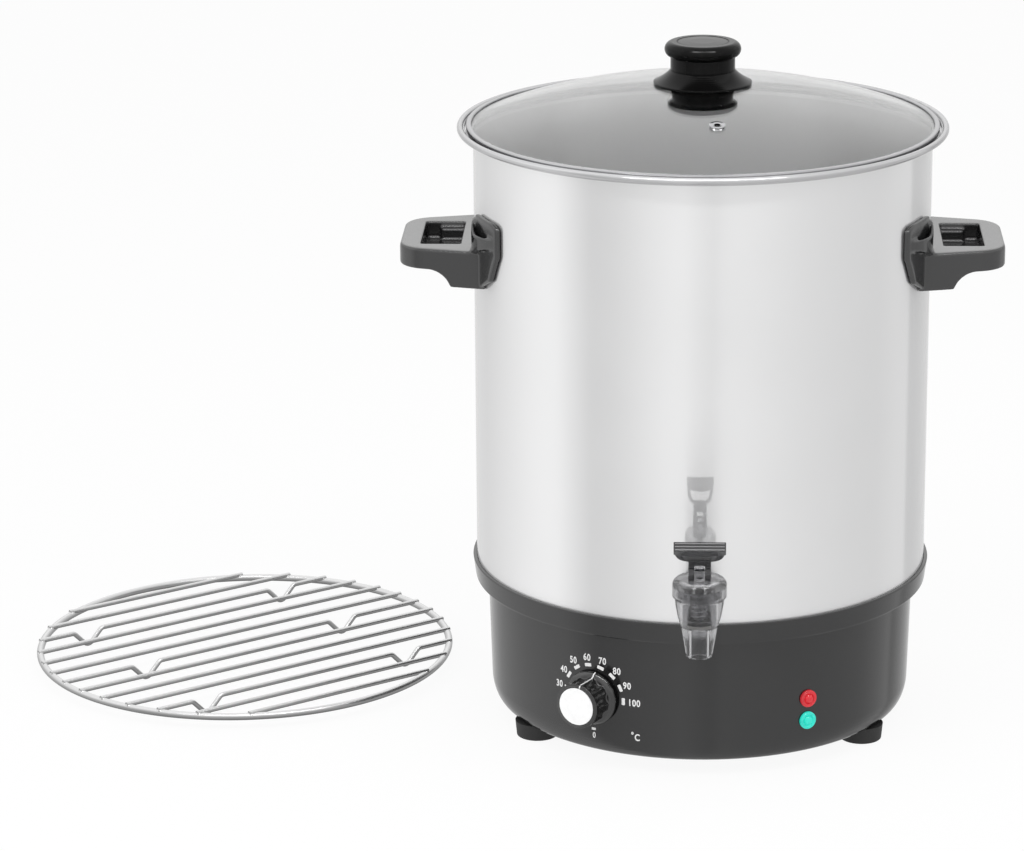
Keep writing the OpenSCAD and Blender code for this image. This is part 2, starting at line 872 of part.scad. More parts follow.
// Turned knob with a flared skirt and a mushroom cap
module lid_knob() {
    neck_z = knob_z + flare_h;
    cap_z = knob_top_z - cap_round_r;
    under_z = knob_z + knob_hollow;
    skirt_z = dome_at(skirt_r) + fine;
    edge_top_z = skirt_z + skirt_edge;
    bend_x = neck_r + (skirt_r - neck_r) * 0.4;
    bend_z = edge_top_z + (neck_z - edge_top_z) * 0.4;
    color(black_plastic)
        rotate_extrude()
            polygon(concat(
                [[knob_screw_r + run_gap, knob_z], [knob_boss_r, knob_z], [knob_boss_r, under_z]],
                [[skirt_r - 6, under_z], [skirt_r - 2, skirt_z], [skirt_r, skirt_z]],
                curve([skirt_r, edge_top_z], [bend_x, bend_z], [neck_r, neck_z], 8),
                [[neck_r - knob_groove, neck_z], [neck_r - knob_groove, neck_z + knob_groove]],
                [[neck_r, neck_z + knob_groove], [neck_r, cap_z - cap_round_r]],
                arc(cap_r - cap_round_r, cap_z, cap_round_r, cap_round_r, -60, 80, 10),
                [[cap_disc_r + 0.5, knob_top_z - 0.1], [cap_disc_r, knob_top_z - 0.9]],
                [[cap_disc_r - 0.5, knob_top_z - 0.3], [cap_disc_r / 2, knob_top_z], [0, knob_top_z]],
                [[0, knob_screw_top_z], [knob_screw_r + run_gap, knob_screw_top_z]]));
}

module lid_knob_washer() {
    top = apex_z - glass_t;
    upper_r = washer_r - 3.5;
    color(black_plastic)
        rotate_extrude()
            polygon(concat(
                [[knob_screw_r + fine, dome_under(knob_screw_r) - touch]],
                [[upper_r, dome_under(upper_r) - touch]],
                [[upper_r, top - 7.5], [washer_r - 0.6, top - 11]],
                arc(washer_r - 3, washer_z + 3.4, 3, 3.4, 10, -90, 6),
                [[knob_head_r + 1, washer_z], [knob_head_r + 1, washer_z + 4]],
                [[knob_screw_r + fine, washer_z + 4]]));
}

module lid_knob_screw() {
    color(zinc) {
        translate([0, 0, washer_z + 4 - knob_head_h])
            cylinder(r = knob_head_r, h = knob_head_h);
        translate([0, 0, washer_z + 3])
            cylinder(r = knob_screw_r, h = knob_screw_top_z - washer_z - 3.5);
    }
}

// Rolled eyelet in the glass that lets steam out
module lid_vent() {
    lip = 1;
    edge = 0.7;
    top = touch;
    low = -glass_t - touch;
    flange_mid = (vent_r + vent_flange_r) / 2;
    color(steel)
        at_vent()
            rotate_extrude()
                polygon([[vent_r, top + edge], [flange_mid, top + lip], [vent_flange_r, top + edge],
                    [vent_flange_r, top], [vent_barrel_r, top], [vent_barrel_r, low], [vent_flange_r, low],
                    [vent_flange_r, low - edge], [flange_mid, low - lip], [vent_r, low - edge]]);
}

// Tap body: threaded shank, valve chamber and tapered spout
module tap_body() {
    z = valve_seat_z;
    color(smoke)
        difference() {
            union() {
                translate([0, tap_y, 0])
                    rotate_extrude()
                        polygon([[0, spout_z], [spout_r, spout_z], [spout_r + 1.9, spout_z + 12],
                            [spout_r + 3.6, spout_z + 22], [body_r - 2.4, neck_low_z - 14],
                            [body_r - 0.9, neck_low_z - 6], [body_r, neck_low_z],
                            [neck_out_r, neck_low_z], [neck_out_r, body_top_z], [0, body_top_z]]);
                on_shank() {
                    translate([0, 0, -shank_end_y])
                        cylinder(r = shank_r, h = shank_end_y - tap_y);
                    translate([0, 0, -tap_flange_y])
                        cylinder(r = tap_flange_r, h = tap_flange_t);
                }
            }
            translate([0, tap_y, z])
                cylinder(r = chamber_r, h = far);
            translate([0, tap_y, spout_z - 1])
                cylinder(r = water_r, h = far);
            on_shank()
                translate([0, 0, -shank_end_y - 1])
                    cylinder(r = water_r, h = shank_end_y + 1 - tap_y);
        }
}

// Rubber washers that follow the wall's curve outside and inside
module tap_washer_outer() {
    color(black_rubber)
        difference() {
            on_shank()
                difference() {
                    cylinder(r = tap_flange_r - 1, h = -tap_flange_y);
                    translate([0, 0, -1])
                        cylinder(r = shank_r + touch, h = far);
                }
            cylinder(r = vessel_r, h = far, $fn = wall_fn);
        }
}

module tap_washer_inner() {
    color(black_rubber)
        intersection() {
            on_shank()
                translate([0, 0, -nut_y])
                    difference() {
                        cylinder(r = tap_flange_r - 1, h = 20);
                        translate([0, 0, -1])
                            cylinder(r = shank_r + touch, h = far);
                    }
            cylinder(r = bore_r, h = far, $fn = wall_fn);
        }
}

module tap_nut() {
    color(smoke)
        on_shank()
            translate([0, 0, -nut_y - nut_t])
                difference() {
                    hexagon(nut_r, nut_t);
                    translate([0, 0, -1])
                        cylinder(r = shank_r + run_gap, h = far);
                }
}

// Screwed cap over the valve chamber
module tap_bonnet() {
    low = bonnet_low_z;
    round_r = 5;
    color(smoke)
        translate([0, tap_y, 0])
            rotate_extrude()
                polygon(concat(
                    [[neck_out_r + touch, low], [bonnet_r - 0.8, low], [bonnet_r, low + 1.2]],
                    arc(bonnet_r - round_r, bonnet_top - round_r, round_r, round_r, 0, 90, 8),
                    [[stem_r + run_gap, bonnet_top], [stem_r + run_gap, body_top_z]],
                    [[neck_out_r + touch, body_top_z]]));
}

module tap_plunger() {
    color(smoke)
        translate([0, tap_y, 0])
            difference() {
                union() {
                    translate([0, 0, disc_low_z])
                        cylinder(r = plunger_r, h = disc_t);
                    translate([0, 0, disc_low_z])
                        cylinder(r = stem_r, h = stem_top_z - disc_low_z);
                }
                translate([-20, 0, pin_z])
                    rotate([0, 90, 0])
                        cylinder(r = pin_r + run_gap, h = 40);
            }
}

module tap_seal() {
    color(silicone)
        translate([0, tap_y, valve_seat_z + fine])
            cylinder(r1 = plunger_r - 0.8, r2 = plunger_r, h = disc_low_z - valve_seat_z - fine);
}

spring_path = [for (i = [0:spring_turns * spring_rings])
    let (a = 360 * i / spring_rings, f = i / (spring_turns * spring_rings))
    [spring_r * cos(a), tap_y + spring_r * sin(a),
        spring_low_z + spring_wire_r + f * (spring_top_z - spring_low_z - 2 * spring_wire_r)]];
spring_gap = min([for (i = [0:len(spring_path) - 1 - spring_rings])
    norm(spring_path[i + spring_rings] - spring_path[i])]) - 2 * spring_wire_r;
echo(spring_gap = spring_gap);

module tap_spring() {
    color(zinc)
        tube(spring_path, spring_wire_r, tube_sides, [0, 0, 1]);
}

// Side view of one leg of the lever, with the pin at the origin and -Y to the left
module lever_leg() {
    tip = web_l * [-sin(lever_lean), cos(lever_lean)];
    across = web_t / 2 * [cos(lever_lean), sin(lever_lean)];
    circle(r = pin_r + 3, $fn = 48);
    translate([-heel_x, 0])
        circle(r = heel_r, $fn = 48);
    polygon([[-heel_x - 4, heel_r - 1.7], tip - across, tip + across,
        [pin_r + 2, 2.4], [0, -pin_r - 2], [-heel_x, 0]]);
}

// One side of the lever's bowed outline, from the cross bar down to the legs
function lever_bow(head, foot, low) =
    curve([head, lever_l], [head, lever_l - arm_bow], [foot, low], 10);

// Outline that mirrors one side across the lever's middle
module mirrored(side) {
    polygon(concat(side, [for (i = [len(side) - 1:-1:0]) [-side[i][0], side[i][1]]]));
}

// Web and arms of the lever, seen along the pull: they spread from the legs to the cross bar
module lever_arms() {
    foot = lever_w / 2 - 0.4;
    head = thumb_l / 2 - 0.6;
    difference() {
        mirrored(concat(lever_bow(head, foot, web_l), [[foot, web_l - web_h]]));
        mirrored(lever_bow(head - arm_w, foot - 2, web_l + 1));
    }
}

// Cross bar that the thumb pulls, flat on top and bowed below
module thumb_bar() {
    w = thumb_l / 2;
    bow = (pow(w, 2) + pow(bar_belly, 2)) / (2 * bar_belly);
    translate([0, bar_t / 2, 0])
        rotate([90, 0, 0])
            linear_extrude(bar_t)
                intersection() {
                    translate([-w, -bar_low - bar_belly])
                        square([2 * w, bar_top + bar_low + bar_belly]);
                    translate([0, bow - bar_low - bar_belly])
                        circle(r = bow, $fn = 128);
                }
}

module tap_lever() {
    leg_t = lever_w / 2 - leg_gap;
    color(smoke)
        translate([0, tap_y, pin_z])
            difference() {
                union() {
                    for (x = [-lever_w / 2, leg_gap])
                        translate([x, 0, 0])
                            rotate([90, 0, 90])
                                linear_extrude(leg_t)
                                    lever_leg();
                    rotate([lever_lean, 0, 0]) {
                        translate([0, 0, lever_l])
                            thumb_bar();
                        translate([0, web_t / 2, 0])
                            rotate([90, 0, 0])
                                linear_extrude(web_t)
                                    lever_arms();
                    }
                }
                translate([-lever_w, 0, 0])
                    rotate([0, 90, 0])
                        cylinder(r = pin_r, h = 2 * lever_w);
            }
}

module tap_lever_pin() {
    color(zinc)
        translate([-lever_w / 2, tap_y, pin_z])
            rotate([0, 90, 0])
                cylinder(r = pin_r, h = lever_w);
}

// Thermostat behind the base wall
module thermostat_body() {
    front = base_t + 3;
    color(phenolic)
        on_base(-dial_bearing, dial_z)
            difference() {
                union() {
                    translate([-body_w / 2, -body_w / 2, -front - body_d])
                        cube([body_w, body_w, body_d]);
                    translate([0, 0, -front - 1])
                        cylinder(r = dial_bush_r, h = front + dial_base_gap + dial_nut_t + 1);
                }
                translate([0, 0, -front - body_d / 2])
                    cylinder(r = shaft_r + run_gap, h = far);
            }
}

module thermostat_nut() {
    color(zinc)
        on_base(-dial_bearing, dial_z)
            translate([0, 0, fine])
                difference() {
                    hexagon(dial_nut_r, dial_nut_t);
                    translate([0, 0, -1])
                        cylinder(r = dial_bush_r + run_gap, h = far);
                }
}

module thermostat_shaft() {
    color(zinc)
        on_base(-dial_bearing, dial_z)
            translate([0, 0, -base_t - 3 - body_d / 2 + fine])
                cylinder(r = shaft_r, h = base_t + 3 + body_d / 2 + dial_h - 6 - 2 * fine);
}

// Dial with a domed skirt, a scalloped grip and a recess for its disc
module thermostat_knob() {
    scallop_r = 6.5;
    skirt_h = 5;
    front_rim = 5;
    hollow_r = disc_r - 3.4;
    color(black_plastic)
        on_base(-dial_bearing, dial_z)
            difference() {
                union() {
                    translate([0, 0, dial_base_gap])
                        rotate_extrude()
                            polygon(concat([[0, 0], [dial_skirt_r, 0], [dial_skirt_r, 1]],
                                arc(dial_grip_r - 3, 1, dial_skirt_r - dial_grip_r + 3, skirt_h - 1,
                                    10, 90, 6),
                                [[0, skirt_h]]));
                    difference() {
                        translate([0, 0, dial_base_gap + 1])
                            cylinder(r = dial_grip_r, h = dial_h - dial_base_gap - 1.6);
                        for (i = [0:scallops - 1])
                            rotate([0, 0, 360 * (i + 0.5) / scallops + 90 - pointer_bearing])
                                translate([dial_grip_r + scallop_r - 2, 0, 0])
                                    cylinder(r = scallop_r, h = dial_h - front_rim);
                    }
                    translate([0, 0, dial_h - front_rim])
                        rotate_extrude()
                            polygon([[0, 0], [dial_grip_r - 2, 0], [dial_grip_r - 1, 1.5],
                                [dial_grip_r - 1, front_rim - 1.2], [dial_grip_r - 2, front_rim],
                                [0, front_rim]]);
                }
                difference() {
                    translate([0, 0, -1])
                        cylinder(r = hollow_r, h = dial_h - front_rim - 2);
                    translate([0, 0, dial_base_gap + dial_nut_t + 3])
                        cylinder(r = shaft_r + 3, h = far);
                }
                translate([0, 0, -1])
                    cylinder(r = shaft_r + touch / 5, h = dial_h - 5);
                translate([0, 0, dial_h - 0.8])
                    cylinder(r = disc_r, h = 5);
            }
}

module thermostat_disc() {
    color(white_disc)
        on_base(-dial_bearing, dial_z)
            translate([0, 0, dial_h - 0.8])
                cylinder(r = disc_r - touch / 2, h = 1);
}

// Sensing bulb clipped under the heater plate, with its capillary to the thermostat
module thermostat_sensor() {
    bulb_x = 34;
    bulb_z = heater_z - bulb_r;
    back_r = base_r(dial_z) - base_t - 3 - body_d;
    back_x = -back_r * sin(dial_bearing);
    back_y = -back_r * cos(dial_bearing);
    capillary_r = 1;
    start = [-bulb_x, -bulb_l / 2 + 1, bulb_z];
    path = [start, start + [-1, -6, -1], start + [-3, -12, -6], start + [-6, -20, -shield_depth - 6],
        [back_x * 0.72, back_y * 0.72, dial_z + 16], [back_x * 0.92, back_y * 0.92, dial_z + 5],
        [back_x + 0.5, back_y + 0.9, dial_z + 4]];
    color([0.72, 0.45, 0.28]) {
        translate([-bulb_x, bulb_l / 2, bulb_z])
            rotate([90, 0, 0])
                cylinder(r = bulb_r, h = bulb_l);
        tube(path, capillary_r, tube_sides, [1, 0, 0]);
    }
}

module lamp_lens(tint, z) {
    dome = 3;
    color(tint)
        on_base(lamp_bearing, z)
            difference() {
                rotate_extrude()
                    polygon(concat([[0, fine], [lamp_r, fine], [lamp_r, lamp_flange_t]],
                        arc(lamp_r - 1.6, lamp_flange_t, 1.6, 1.2, 0, 180, 8),
                        arc(0, lamp_flange_t - 0.4, lamp_r - 3.2, dome, 0, 90, 6)));
                translate([0, 0, -1])
                    cylinder(r = lamp_barrel_r - 2, h = 1 + fine + 0.6);
            }
}

module lamp_red() {
    lamp_lens([0.80, 0.10, 0.12], dial_z);
}

module lamp_green() {
    lamp_lens([0.10, 0.65, 0.58], dial_z - lamp_pitch);
}

module lamp_barrels() {
    color(black_plastic)
        for (i = [0, 1])
            on_base(lamp_bearing, dial_z - i * lamp_pitch) {
                translate([0, 0, fine - lamp_barrel_l])
                    cylinder(r = lamp_barrel_r, h = lamp_barrel_l);
                for (x = [-2, 2])
                    translate([x - 0.4, -1.5, fine - lamp_barrel_l - 7])
                        cube([0.8, 3, 8]);
            }
}

// Gland at the back for the supply lead
module cable_gland() {
    color(black_plastic)
        on_base(180, gland_z)
            difference() {
                union() {
                    translate([0, 0, fine])
                        hexagon(gland_flange_r, 5);
                    translate([0, 0, 4])
                        cylinder(r1 = gland_r + 1.4, r2 = gland_r - 1, h = 6);
                    translate([0, 0, -base_t - 7])
                        cylinder(r = gland_r, h = base_t + 8);
                }
                translate([0, 0, -base_t - 8])
                    cylinder(r = gland_bore_r, h = far);
            }
}

module cable_gland_nut() {
    seat = base_t + 1;
    color(black_plastic)
        on_base(180, gland_z)
            translate([0, 0, -seat - 4])
                difference() {
                    hexagon(gland_flange_r, 4);
                    translate([0, 0, -1])
                        cylinder(r = gland_r + run_gap, h = far);
                }
}

module heater_plate() {
    color([0.75, 0.76, 0.78])
        difference() {
            translate([0, 0, heater_z])
                cylinder(r = heater_r, h = heater_t);
            translate([0, 0, heater_z - 1])
                cylinder(r = stud_r + 1, h = heater_t + 2);
        }
}

// Ring element under the plate, with its two cold ends
module heating_element() {
    color([0.35, 0.33, 0.32])
        rotate([0, 0, 90]) {
            rotate([0, 0, element_gap / 2])
                rotate_extrude(angle = 360 - element_gap)
                    translate([element_ring_r, element_z])
                        circle(r = element_r, $fn = 32);
            for (s = [-1, 1])
                rotate([0, 0, s * (element_gap / 2 + 1)])
                    translate([element_ring_r, 0, element_z - pin_l])
                        cylinder(r = element_r - 1.2, h = pin_l);
        }
}

// Sheet pan that keeps heat off the moulded base
module heat_shield() {
    flange_r = ledge_r + 6;
    t = shield_t;
    color(zinc)
        difference() {
            rotate_extrude()
                polygon([[0, shield_z], [shield_r, shield_z], [shield_r, shield_lip_z - t],
                    [flange_r, shield_lip_z - t], [flange_r, shield_lip_z], [shield_r - t, shield_lip_z],
                    [shield_r - t, shield_z + t], [0, shield_z + t]]);
            translate([0, 0, shield_z - 1])
                cylinder(r = stud_r + 1, h = 4);
            for (s = [-1, 1])
                rotate([0, 0, 90 + s * (element_gap / 2 + 1)])
                    translate([element_ring_r, 0, shield_z - 1])
                        cylinder(r = element_r + 1, h = 4);
            translate([-46, -bulb_l - 8, shield_z - 1])
                cube([20, 26, 4]);
        }
}

module thermal_cutout() {
    color([0.85, 0.84, 0.80])
        translate([44, -20, heater_z - 9]) {
            cylinder(r = 8, h = 9);
            translate([-12, -4, 8])
                cube([24, 8, 1]);
        }
}

module terminal_block() {
    color([0.88, 0.87, 0.82])
        difference() {
            translate([-20, 30, ring_top_z + plate_t])
                cube([40, 18, 16]);
            for (x = [-13, 0, 13])
                translate([x, 39, ring_top_z + plate_t + 6])
                    cylinder(r = 2.4, h = 20);
        }
}

module tie_stud() {
    color(zinc)
        translate([0, 0, stud_low_z])
            cylinder(r = stud_r, h = floor_z - stud_low_z);
}

module tie_nut() {
    color(zinc)
        translate([0, 0, ring_top_z - stud_nut_t])
            difference() {
                hexagon(stud_nut_r, stud_nut_t);
                translate([0, 0, -1])
                    cylinder(r = stud_r + run_gap, h = far);
            }
}

// Frame of the standing rack: x along its bars, origin on the table
module at_rack() {
    translate([rack_x, rack_y, 0])
        rotate([0, 0, bar_bearing])
            children();
}

function bar_y(i) = (i - (bars - 1) / 2) * bar_pitch;
function bar_half_l(i) = sqrt(pow(ring_mid_r, 2) - pow(bar_y(i), 2)) + bar_wire_r;
function is_bent(i) = i % bend_every == bend_first;

module rack_ring() {
    color(bright_wire)
        at_rack()
            rotate_extrude()
                translate([ring_mid_r, ring_z])
                    circle(r = ring_wire_r, $fn = 32);
}

module rack_bars() {
    color(bright_wire)
        at_rack()
            for (i = [0:bars - 1])
                if (!is_bent(i))
                    translate([-bar_half_l(i), bar_y(i), bar_z])
                        rotate([0, 90, 0])
                            cylinder(r = bar_wire_r, h = 2 * bar_half_l(i), $fn = 32);
}

// Slope of a bent foot's straight flanks, between arcs of one radius
bend_drop = bend_depth - 2 * bend_r;
bend_slope = atan2(bend_drop, bend_half_w) + asin(2 * bend_r / norm([bend_half_w, bend_drop]));

// Points of one bent foot as distance along the bar and height
function bend(at) = concat(
    [for (a = [0:bend_slope / 3:bend_slope + 0.01])
        [at - bend_half_w + bend_r * sin(a), bar_z - bend_r + bend_r * cos(a)]],
    [for (a = [-bend_slope:bend_slope / 3:bend_slope + 0.01])
        [at + bend_r * sin(a), bar_wire_r + bend_r - bend_r * cos(a)]],
    [for (a = [-bend_slope:bend_slope / 3:0.01])
        [at + bend_half_w + bend_r * sin(a), bar_z - bend_r + bend_r * cos(a)]]);

module rack_foot_bars() {
    sides = 12;
    color(bright_wire)
        at_rack()
            for (i = [0:bars - 1])
                if (is_bent(i)) {
                    l = bar_half_l(i);
                    line = concat([[-l, bar_z]], bend(-bend_dist), bend(bend_dist), [[l, bar_z]]);
                    tube([for (p = line) [p[0], bar_y(i), p[1]]], bar_wire_r, sides, [0, 1, 0]);
                }
}

vessel();
base_housing();
base_plate();
cover_screw_group();  // cover_screws
foot(foot_bearings[0]);  // foot_front_left
foot(foot_bearings[1]);  // foot_front_right
foot(foot_bearings[2]);  // foot_rear
foot_screw_group();  // foot_screws
handle_left();
handle_right();
handle_screw_group();  // handle_screws
lid_glass();
lid_rim();
lid_knob();
lid_knob_washer();
lid_knob_screw();
lid_vent();
tap_body();
tap_washer_outer();
tap_washer_inner();
tap_nut();
tap_bonnet();
tap_plunger();
tap_seal();
tap_spring();
tap_lever();
tap_lever_pin();
thermostat_body();
thermostat_nut();
thermostat_shaft();
thermostat_knob();
thermostat_disc();
thermostat_sensor();
lamp_red();
lamp_green();
lamp_barrels();
cable_gland();
cable_gland_nut();
heater_plate();
heating_element();
heat_shield();
thermal_cutout();
terminal_block();
tie_stud();
tie_nut();
rack_ring();
rack_bars();
rack_foot_bars();
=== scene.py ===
"""Looks of an electric kettle for mulled wine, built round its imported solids.

Lengths are in metres, bearings and leans in degrees, and turns in radians.
"""

import json
import logging
import math
from collections.abc import Iterable, Sequence
from dataclasses import dataclass, field
from enum import Enum

import bmesh
import bpy
from mathutils import Matrix, Vector
from mathutils.bvhtree import BVHTree


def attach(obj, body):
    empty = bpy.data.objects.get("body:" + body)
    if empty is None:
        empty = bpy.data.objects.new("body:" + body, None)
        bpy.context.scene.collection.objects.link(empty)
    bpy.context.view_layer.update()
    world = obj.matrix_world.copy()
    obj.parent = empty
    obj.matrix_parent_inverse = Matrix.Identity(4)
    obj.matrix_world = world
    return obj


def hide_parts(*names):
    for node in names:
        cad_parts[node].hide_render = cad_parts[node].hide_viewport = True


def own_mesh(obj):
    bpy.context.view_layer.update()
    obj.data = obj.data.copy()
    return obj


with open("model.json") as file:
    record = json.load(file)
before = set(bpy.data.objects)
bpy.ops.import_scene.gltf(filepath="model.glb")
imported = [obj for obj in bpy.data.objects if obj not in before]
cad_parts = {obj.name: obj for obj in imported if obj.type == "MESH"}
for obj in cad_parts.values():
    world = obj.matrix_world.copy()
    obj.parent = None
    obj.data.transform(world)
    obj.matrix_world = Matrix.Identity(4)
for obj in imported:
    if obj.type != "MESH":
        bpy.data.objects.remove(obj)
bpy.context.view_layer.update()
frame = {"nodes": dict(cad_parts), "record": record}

LOG = logging.getLogger("kettle")
MM = 0.001

Pair = tuple[float, float]
Triple = tuple[float, float, float]
Point = Triple
Colour = Triple
Place = tuple[Point, Point, float]
Socket = bpy.types.NodeSocket
Piece = bpy.types.Object


def grey(level: float) -> Colour:
    """Gives a colour without a tint."""
    return (level, level, level)


UP = (0.0, 0.0, 1.0)
DOWN = (0.0, 0.0, -1.0)
WHITE = (1.0, 1.0, 1.0, 1.0)
MERGE_REACH = 1e-7
POINT_REACH = 1e-9
SMOOTH_SHARE = 0.5
GRAIN_OCTAVES = 3.0
CLOUD_OCTAVES = 4.0
UNEVEN_RANGE = (0.7, 1.3)
EDGE_SAMPLES = 6
MIX_SHARE = 0
MIX_NUMBERS = (2, 3)
MIX_COLOURS = (6, 7)
MIX_COLOUR = 2
RIDGE_RANGE = (0.52, 0.60)
RIDGE_COLOUR = grey(0.30)


class Body(Enum):
    """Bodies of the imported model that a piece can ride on."""

    KETTLE = "kettle"
    DIAL = "dial"
    PLUNGER = "plunger"
    LEVER = "lever"
    RACK = "rack"


class Lamp(Enum):
    """Places of the soft boxes round the object."""

    LEFT = "left"
    RIGHT = "right"
    TOP = "top"


class Kind(Enum):
    """Types of a node tree's inputs."""

    SIZE = "NodeSocketFloat"
    COUNT = "NodeSocketInt"
    PIECE = "NodeSocketObject"
    FINISH = "NodeSocketMaterial"


class Graph:
    """A node tree with short ways to add and join its nodes."""

    def __init__(self, tree: bpy.types.NodeTree) -> None:
        """Keeps the tree that nodes are added to."""
        self.tree = tree

    def add(self, kind: str, inputs: dict[str | int, object] | None = None,
            **settings: object) -> bpy.types.Node:
        """Adds a node.

        Args:
            kind: Blender's type name of the node.
            inputs: values for its sockets, or the sockets that feed them.
            settings: properties of the node itself.

        Returns:
            The new node.
        """
        node = self.tree.nodes.new(kind)
        for key, value in settings.items():
            setattr(node, key, value)
        self.feed(node, inputs or {})
        return node

    def feed(self, node: bpy.types.Node, inputs: dict[str | int, object]) -> None:
        """Sets the sockets of a node.

        Args:
            node: the node.
            inputs: values for its sockets, or the sockets that feed them.
        """
        for key, value in inputs.items():
            if isinstance(value, Socket):
                self.tree.links.new(value, node.inputs[key])
            else:
                node.inputs[key].default_value = value

    def calculate(self, operation: str, *values: Socket | float) -> Socket:
        """Adds a calculation of the named kind and gives its result."""
        return self.add("ShaderNodeMath", dict(enumerate(values)), operation=operation).outputs[0]

    def place(self) -> Socket:
        """Gives a point's place on its object."""
        return self.add("ShaderNodeTexCoord").outputs["Object"]

    def split(self, vector: Socket) -> tuple[Socket, ...]:
        """Splits a vector into its x, y and z."""
        return tuple(self.add("ShaderNodeSeparateXYZ", {0: vector}).outputs)

    def noise(self, place: Socket, scale: float, octaves: float) -> Socket:
        """Adds a grey noise pattern of so many cells per metre."""
        inputs = {"Vector": place, "Scale": scale, "Detail": octaves}
        return self.add("ShaderNodeTexNoise", inputs).outputs[0]

    def spread(self, value: Socket, low: float, high: float, start: float = 0.3,
               end: float = 0.7) -> Socket:
        """Maps a value so that start gives low and end gives high."""
        inputs = {"Value": value, "From Min": start, "From Max": end, "To Min": low, "To Max": high}
        return self.add("ShaderNodeMapRange", inputs).outputs[0]

    def blend(self, share: Socket, one: Socket | Colour, other: Colour) -> Socket:
        """Mixes two colours.

        Args:
            share: how much of the other colour shows.
            one: colour at 0.
            other: colour at 1.

        Returns:
            The mixed colour.
        """
        tones = (one if isinstance(one, Socket) else (*one, 1.0), (*other, 1.0))
        inputs = {MIX_SHARE: share, **dict(zip(MIX_COLOURS, tones))}
        return self.add("ShaderNodeMix", inputs, data_type="RGBA").outputs[MIX_COLOUR]

    def upward(self, start: float, end: float) -> Socket:
        """Gives 0 where a surface leans up by less than start and 1 where by more than end."""
        normal = self.add("ShaderNodeNewGeometry").outputs["Normal"]
        return self.spread(self.split(normal)[2], 0.0, 1.0, start, end)

    def level(self, share: Socket, height: float, reach: float) -> Socket:
        """Keeps a share only within a reach of a height."""
        near = self.calculate("COMPARE", self.split(self.place())[2], height, reach)
        return self.calculate("MULTIPLY", share, near)

    def choose(self, switch: Socket, off: Socket | float, on: Socket | float) -> Socket:
        """Gives one number where a switch is 0 and another where it is 1."""
        inputs = {MIX_SHARE: switch, **dict(zip(MIX_NUMBERS, (off, on)))}
        return self.add("ShaderNodeMix", inputs, data_type="FLOAT").outputs[0]


def blank_graph(owner: bpy.types.Material | bpy.types.World) -> Graph:
    """Empties the node tree of a material or a world.

    Args:
        owner: what has the tree.

    Returns:
        The empty tree.
    """
    owner.use_nodes = True
    owner.node_tree.nodes.clear()
    return Graph(owner.node_tree)


@dataclass(frozen=True)
class Finish:
    """A surface with fine grain, cloudy tone and uneven gloss."""

    name: str
    colour: Colour
    rough: float
    metallic: float = 0.0
    mottle: float = 0.06
    mottle_scale: float = 14.0
    rough_spread: float = 0.05
    grain_scale: float = 1600.0
    grain_depth: float = 0.01 * MM
    stretch: Triple = (1.0, 1.0, 1.0)
    edge: float = 0.0
    wear: float = 0.0
    gloss: float = 0.5
    bend: float = 1.5
    # Painted light: the colour that surfaces blend to as they face up, the range of facing over
    # which they blend, and the height band it is held to.
    top: Colour | None = None
    painted_light_range: Pair = (0.75, 0.97)
    painted_light_level: Pair | None = None

    def material(self) -> bpy.types.Material:
        """Gives the material, which is made on first use."""
        return bpy.data.materials.get(self.name) or self.make()

    def make(self) -> bpy.types.Material:
        """Builds the material's nodes.

        Returns:
            The new material.
        """
        made = bpy.data.materials.new(self.name)
        made.use_nodes = True
        graph = Graph(made.node_tree)
        shader = made.node_tree.nodes["Principled BSDF"]
        place = graph.place()
        along = graph.add("ShaderNodeMapping", {"Vector": place, "Scale": self.stretch}).outputs[0]
        grain = graph.noise(along, self.grain_scale, GRAIN_OCTAVES)
        cloud = graph.noise(place, self.mottle_scale, CLOUD_OCTAVES)
        dark = tuple(c * (1 - self.mottle) for c in self.colour)
        light = tuple(min(1.0, c * (1 + self.mottle)) for c in self.colour)
        tone = graph.blend(graph.spread(cloud, 0.0, 1.0), dark, light)
        low, high = max(0.0, self.rough - self.rough_spread), self.rough + self.rough_spread
        uneven = graph.spread(graph.calculate("ADD", grain, cloud), low, high, *UNEVEN_RANGE)
        bump = graph.add("ShaderNodeBump", {"Height": grain, "Distance": self.grain_depth})
        if self.edge:
            edges = graph.add("ShaderNodeBevel", {"Radius": self.edge}, samples=EDGE_SAMPLES)
            graph.feed(bump, {"Normal": edges.outputs[0]})
        graph.feed(shader, {
            "Base Color": self.vary(graph, tone), "Roughness": uneven, "Normal": bump.outputs[0],
            "Metallic": self.metallic, "Specular IOR Level": self.gloss, "IOR": self.bend})
        self.tune(graph, shader)
        return made

    def vary(self, graph: Graph, tone: Socket) -> Socket:
        """Paints light on the surfaces as they face up, and lightens the edges where hands wear
        them.

        Args:
            graph: the material's nodes.
            tone: colour of the unworn surface, before its painted light.

        Returns:
            The colour with its painted light and its worn places.
        """
        # Painted light on upward faces; where the base colour is darker, faces that turn down keep
        # it as painted shade.
        if self.top:
            share = graph.upward(*self.painted_light_range)
            if self.painted_light_level:
                share = graph.level(share, *self.painted_light_level)
            tone = graph.blend(share, tone, self.top)
        if self.wear:
            ridge = graph.add("ShaderNodeNewGeometry").outputs["Pointiness"]
            worn = graph.spread(ridge, 0.0, self.wear, *RIDGE_RANGE)
            tone = graph.blend(worn, tone, RIDGE_COLOUR)
        return tone

    def tune(self, graph: Graph, shader: bpy.types.Node) -> None:
        """Sets what only some finishes have."""


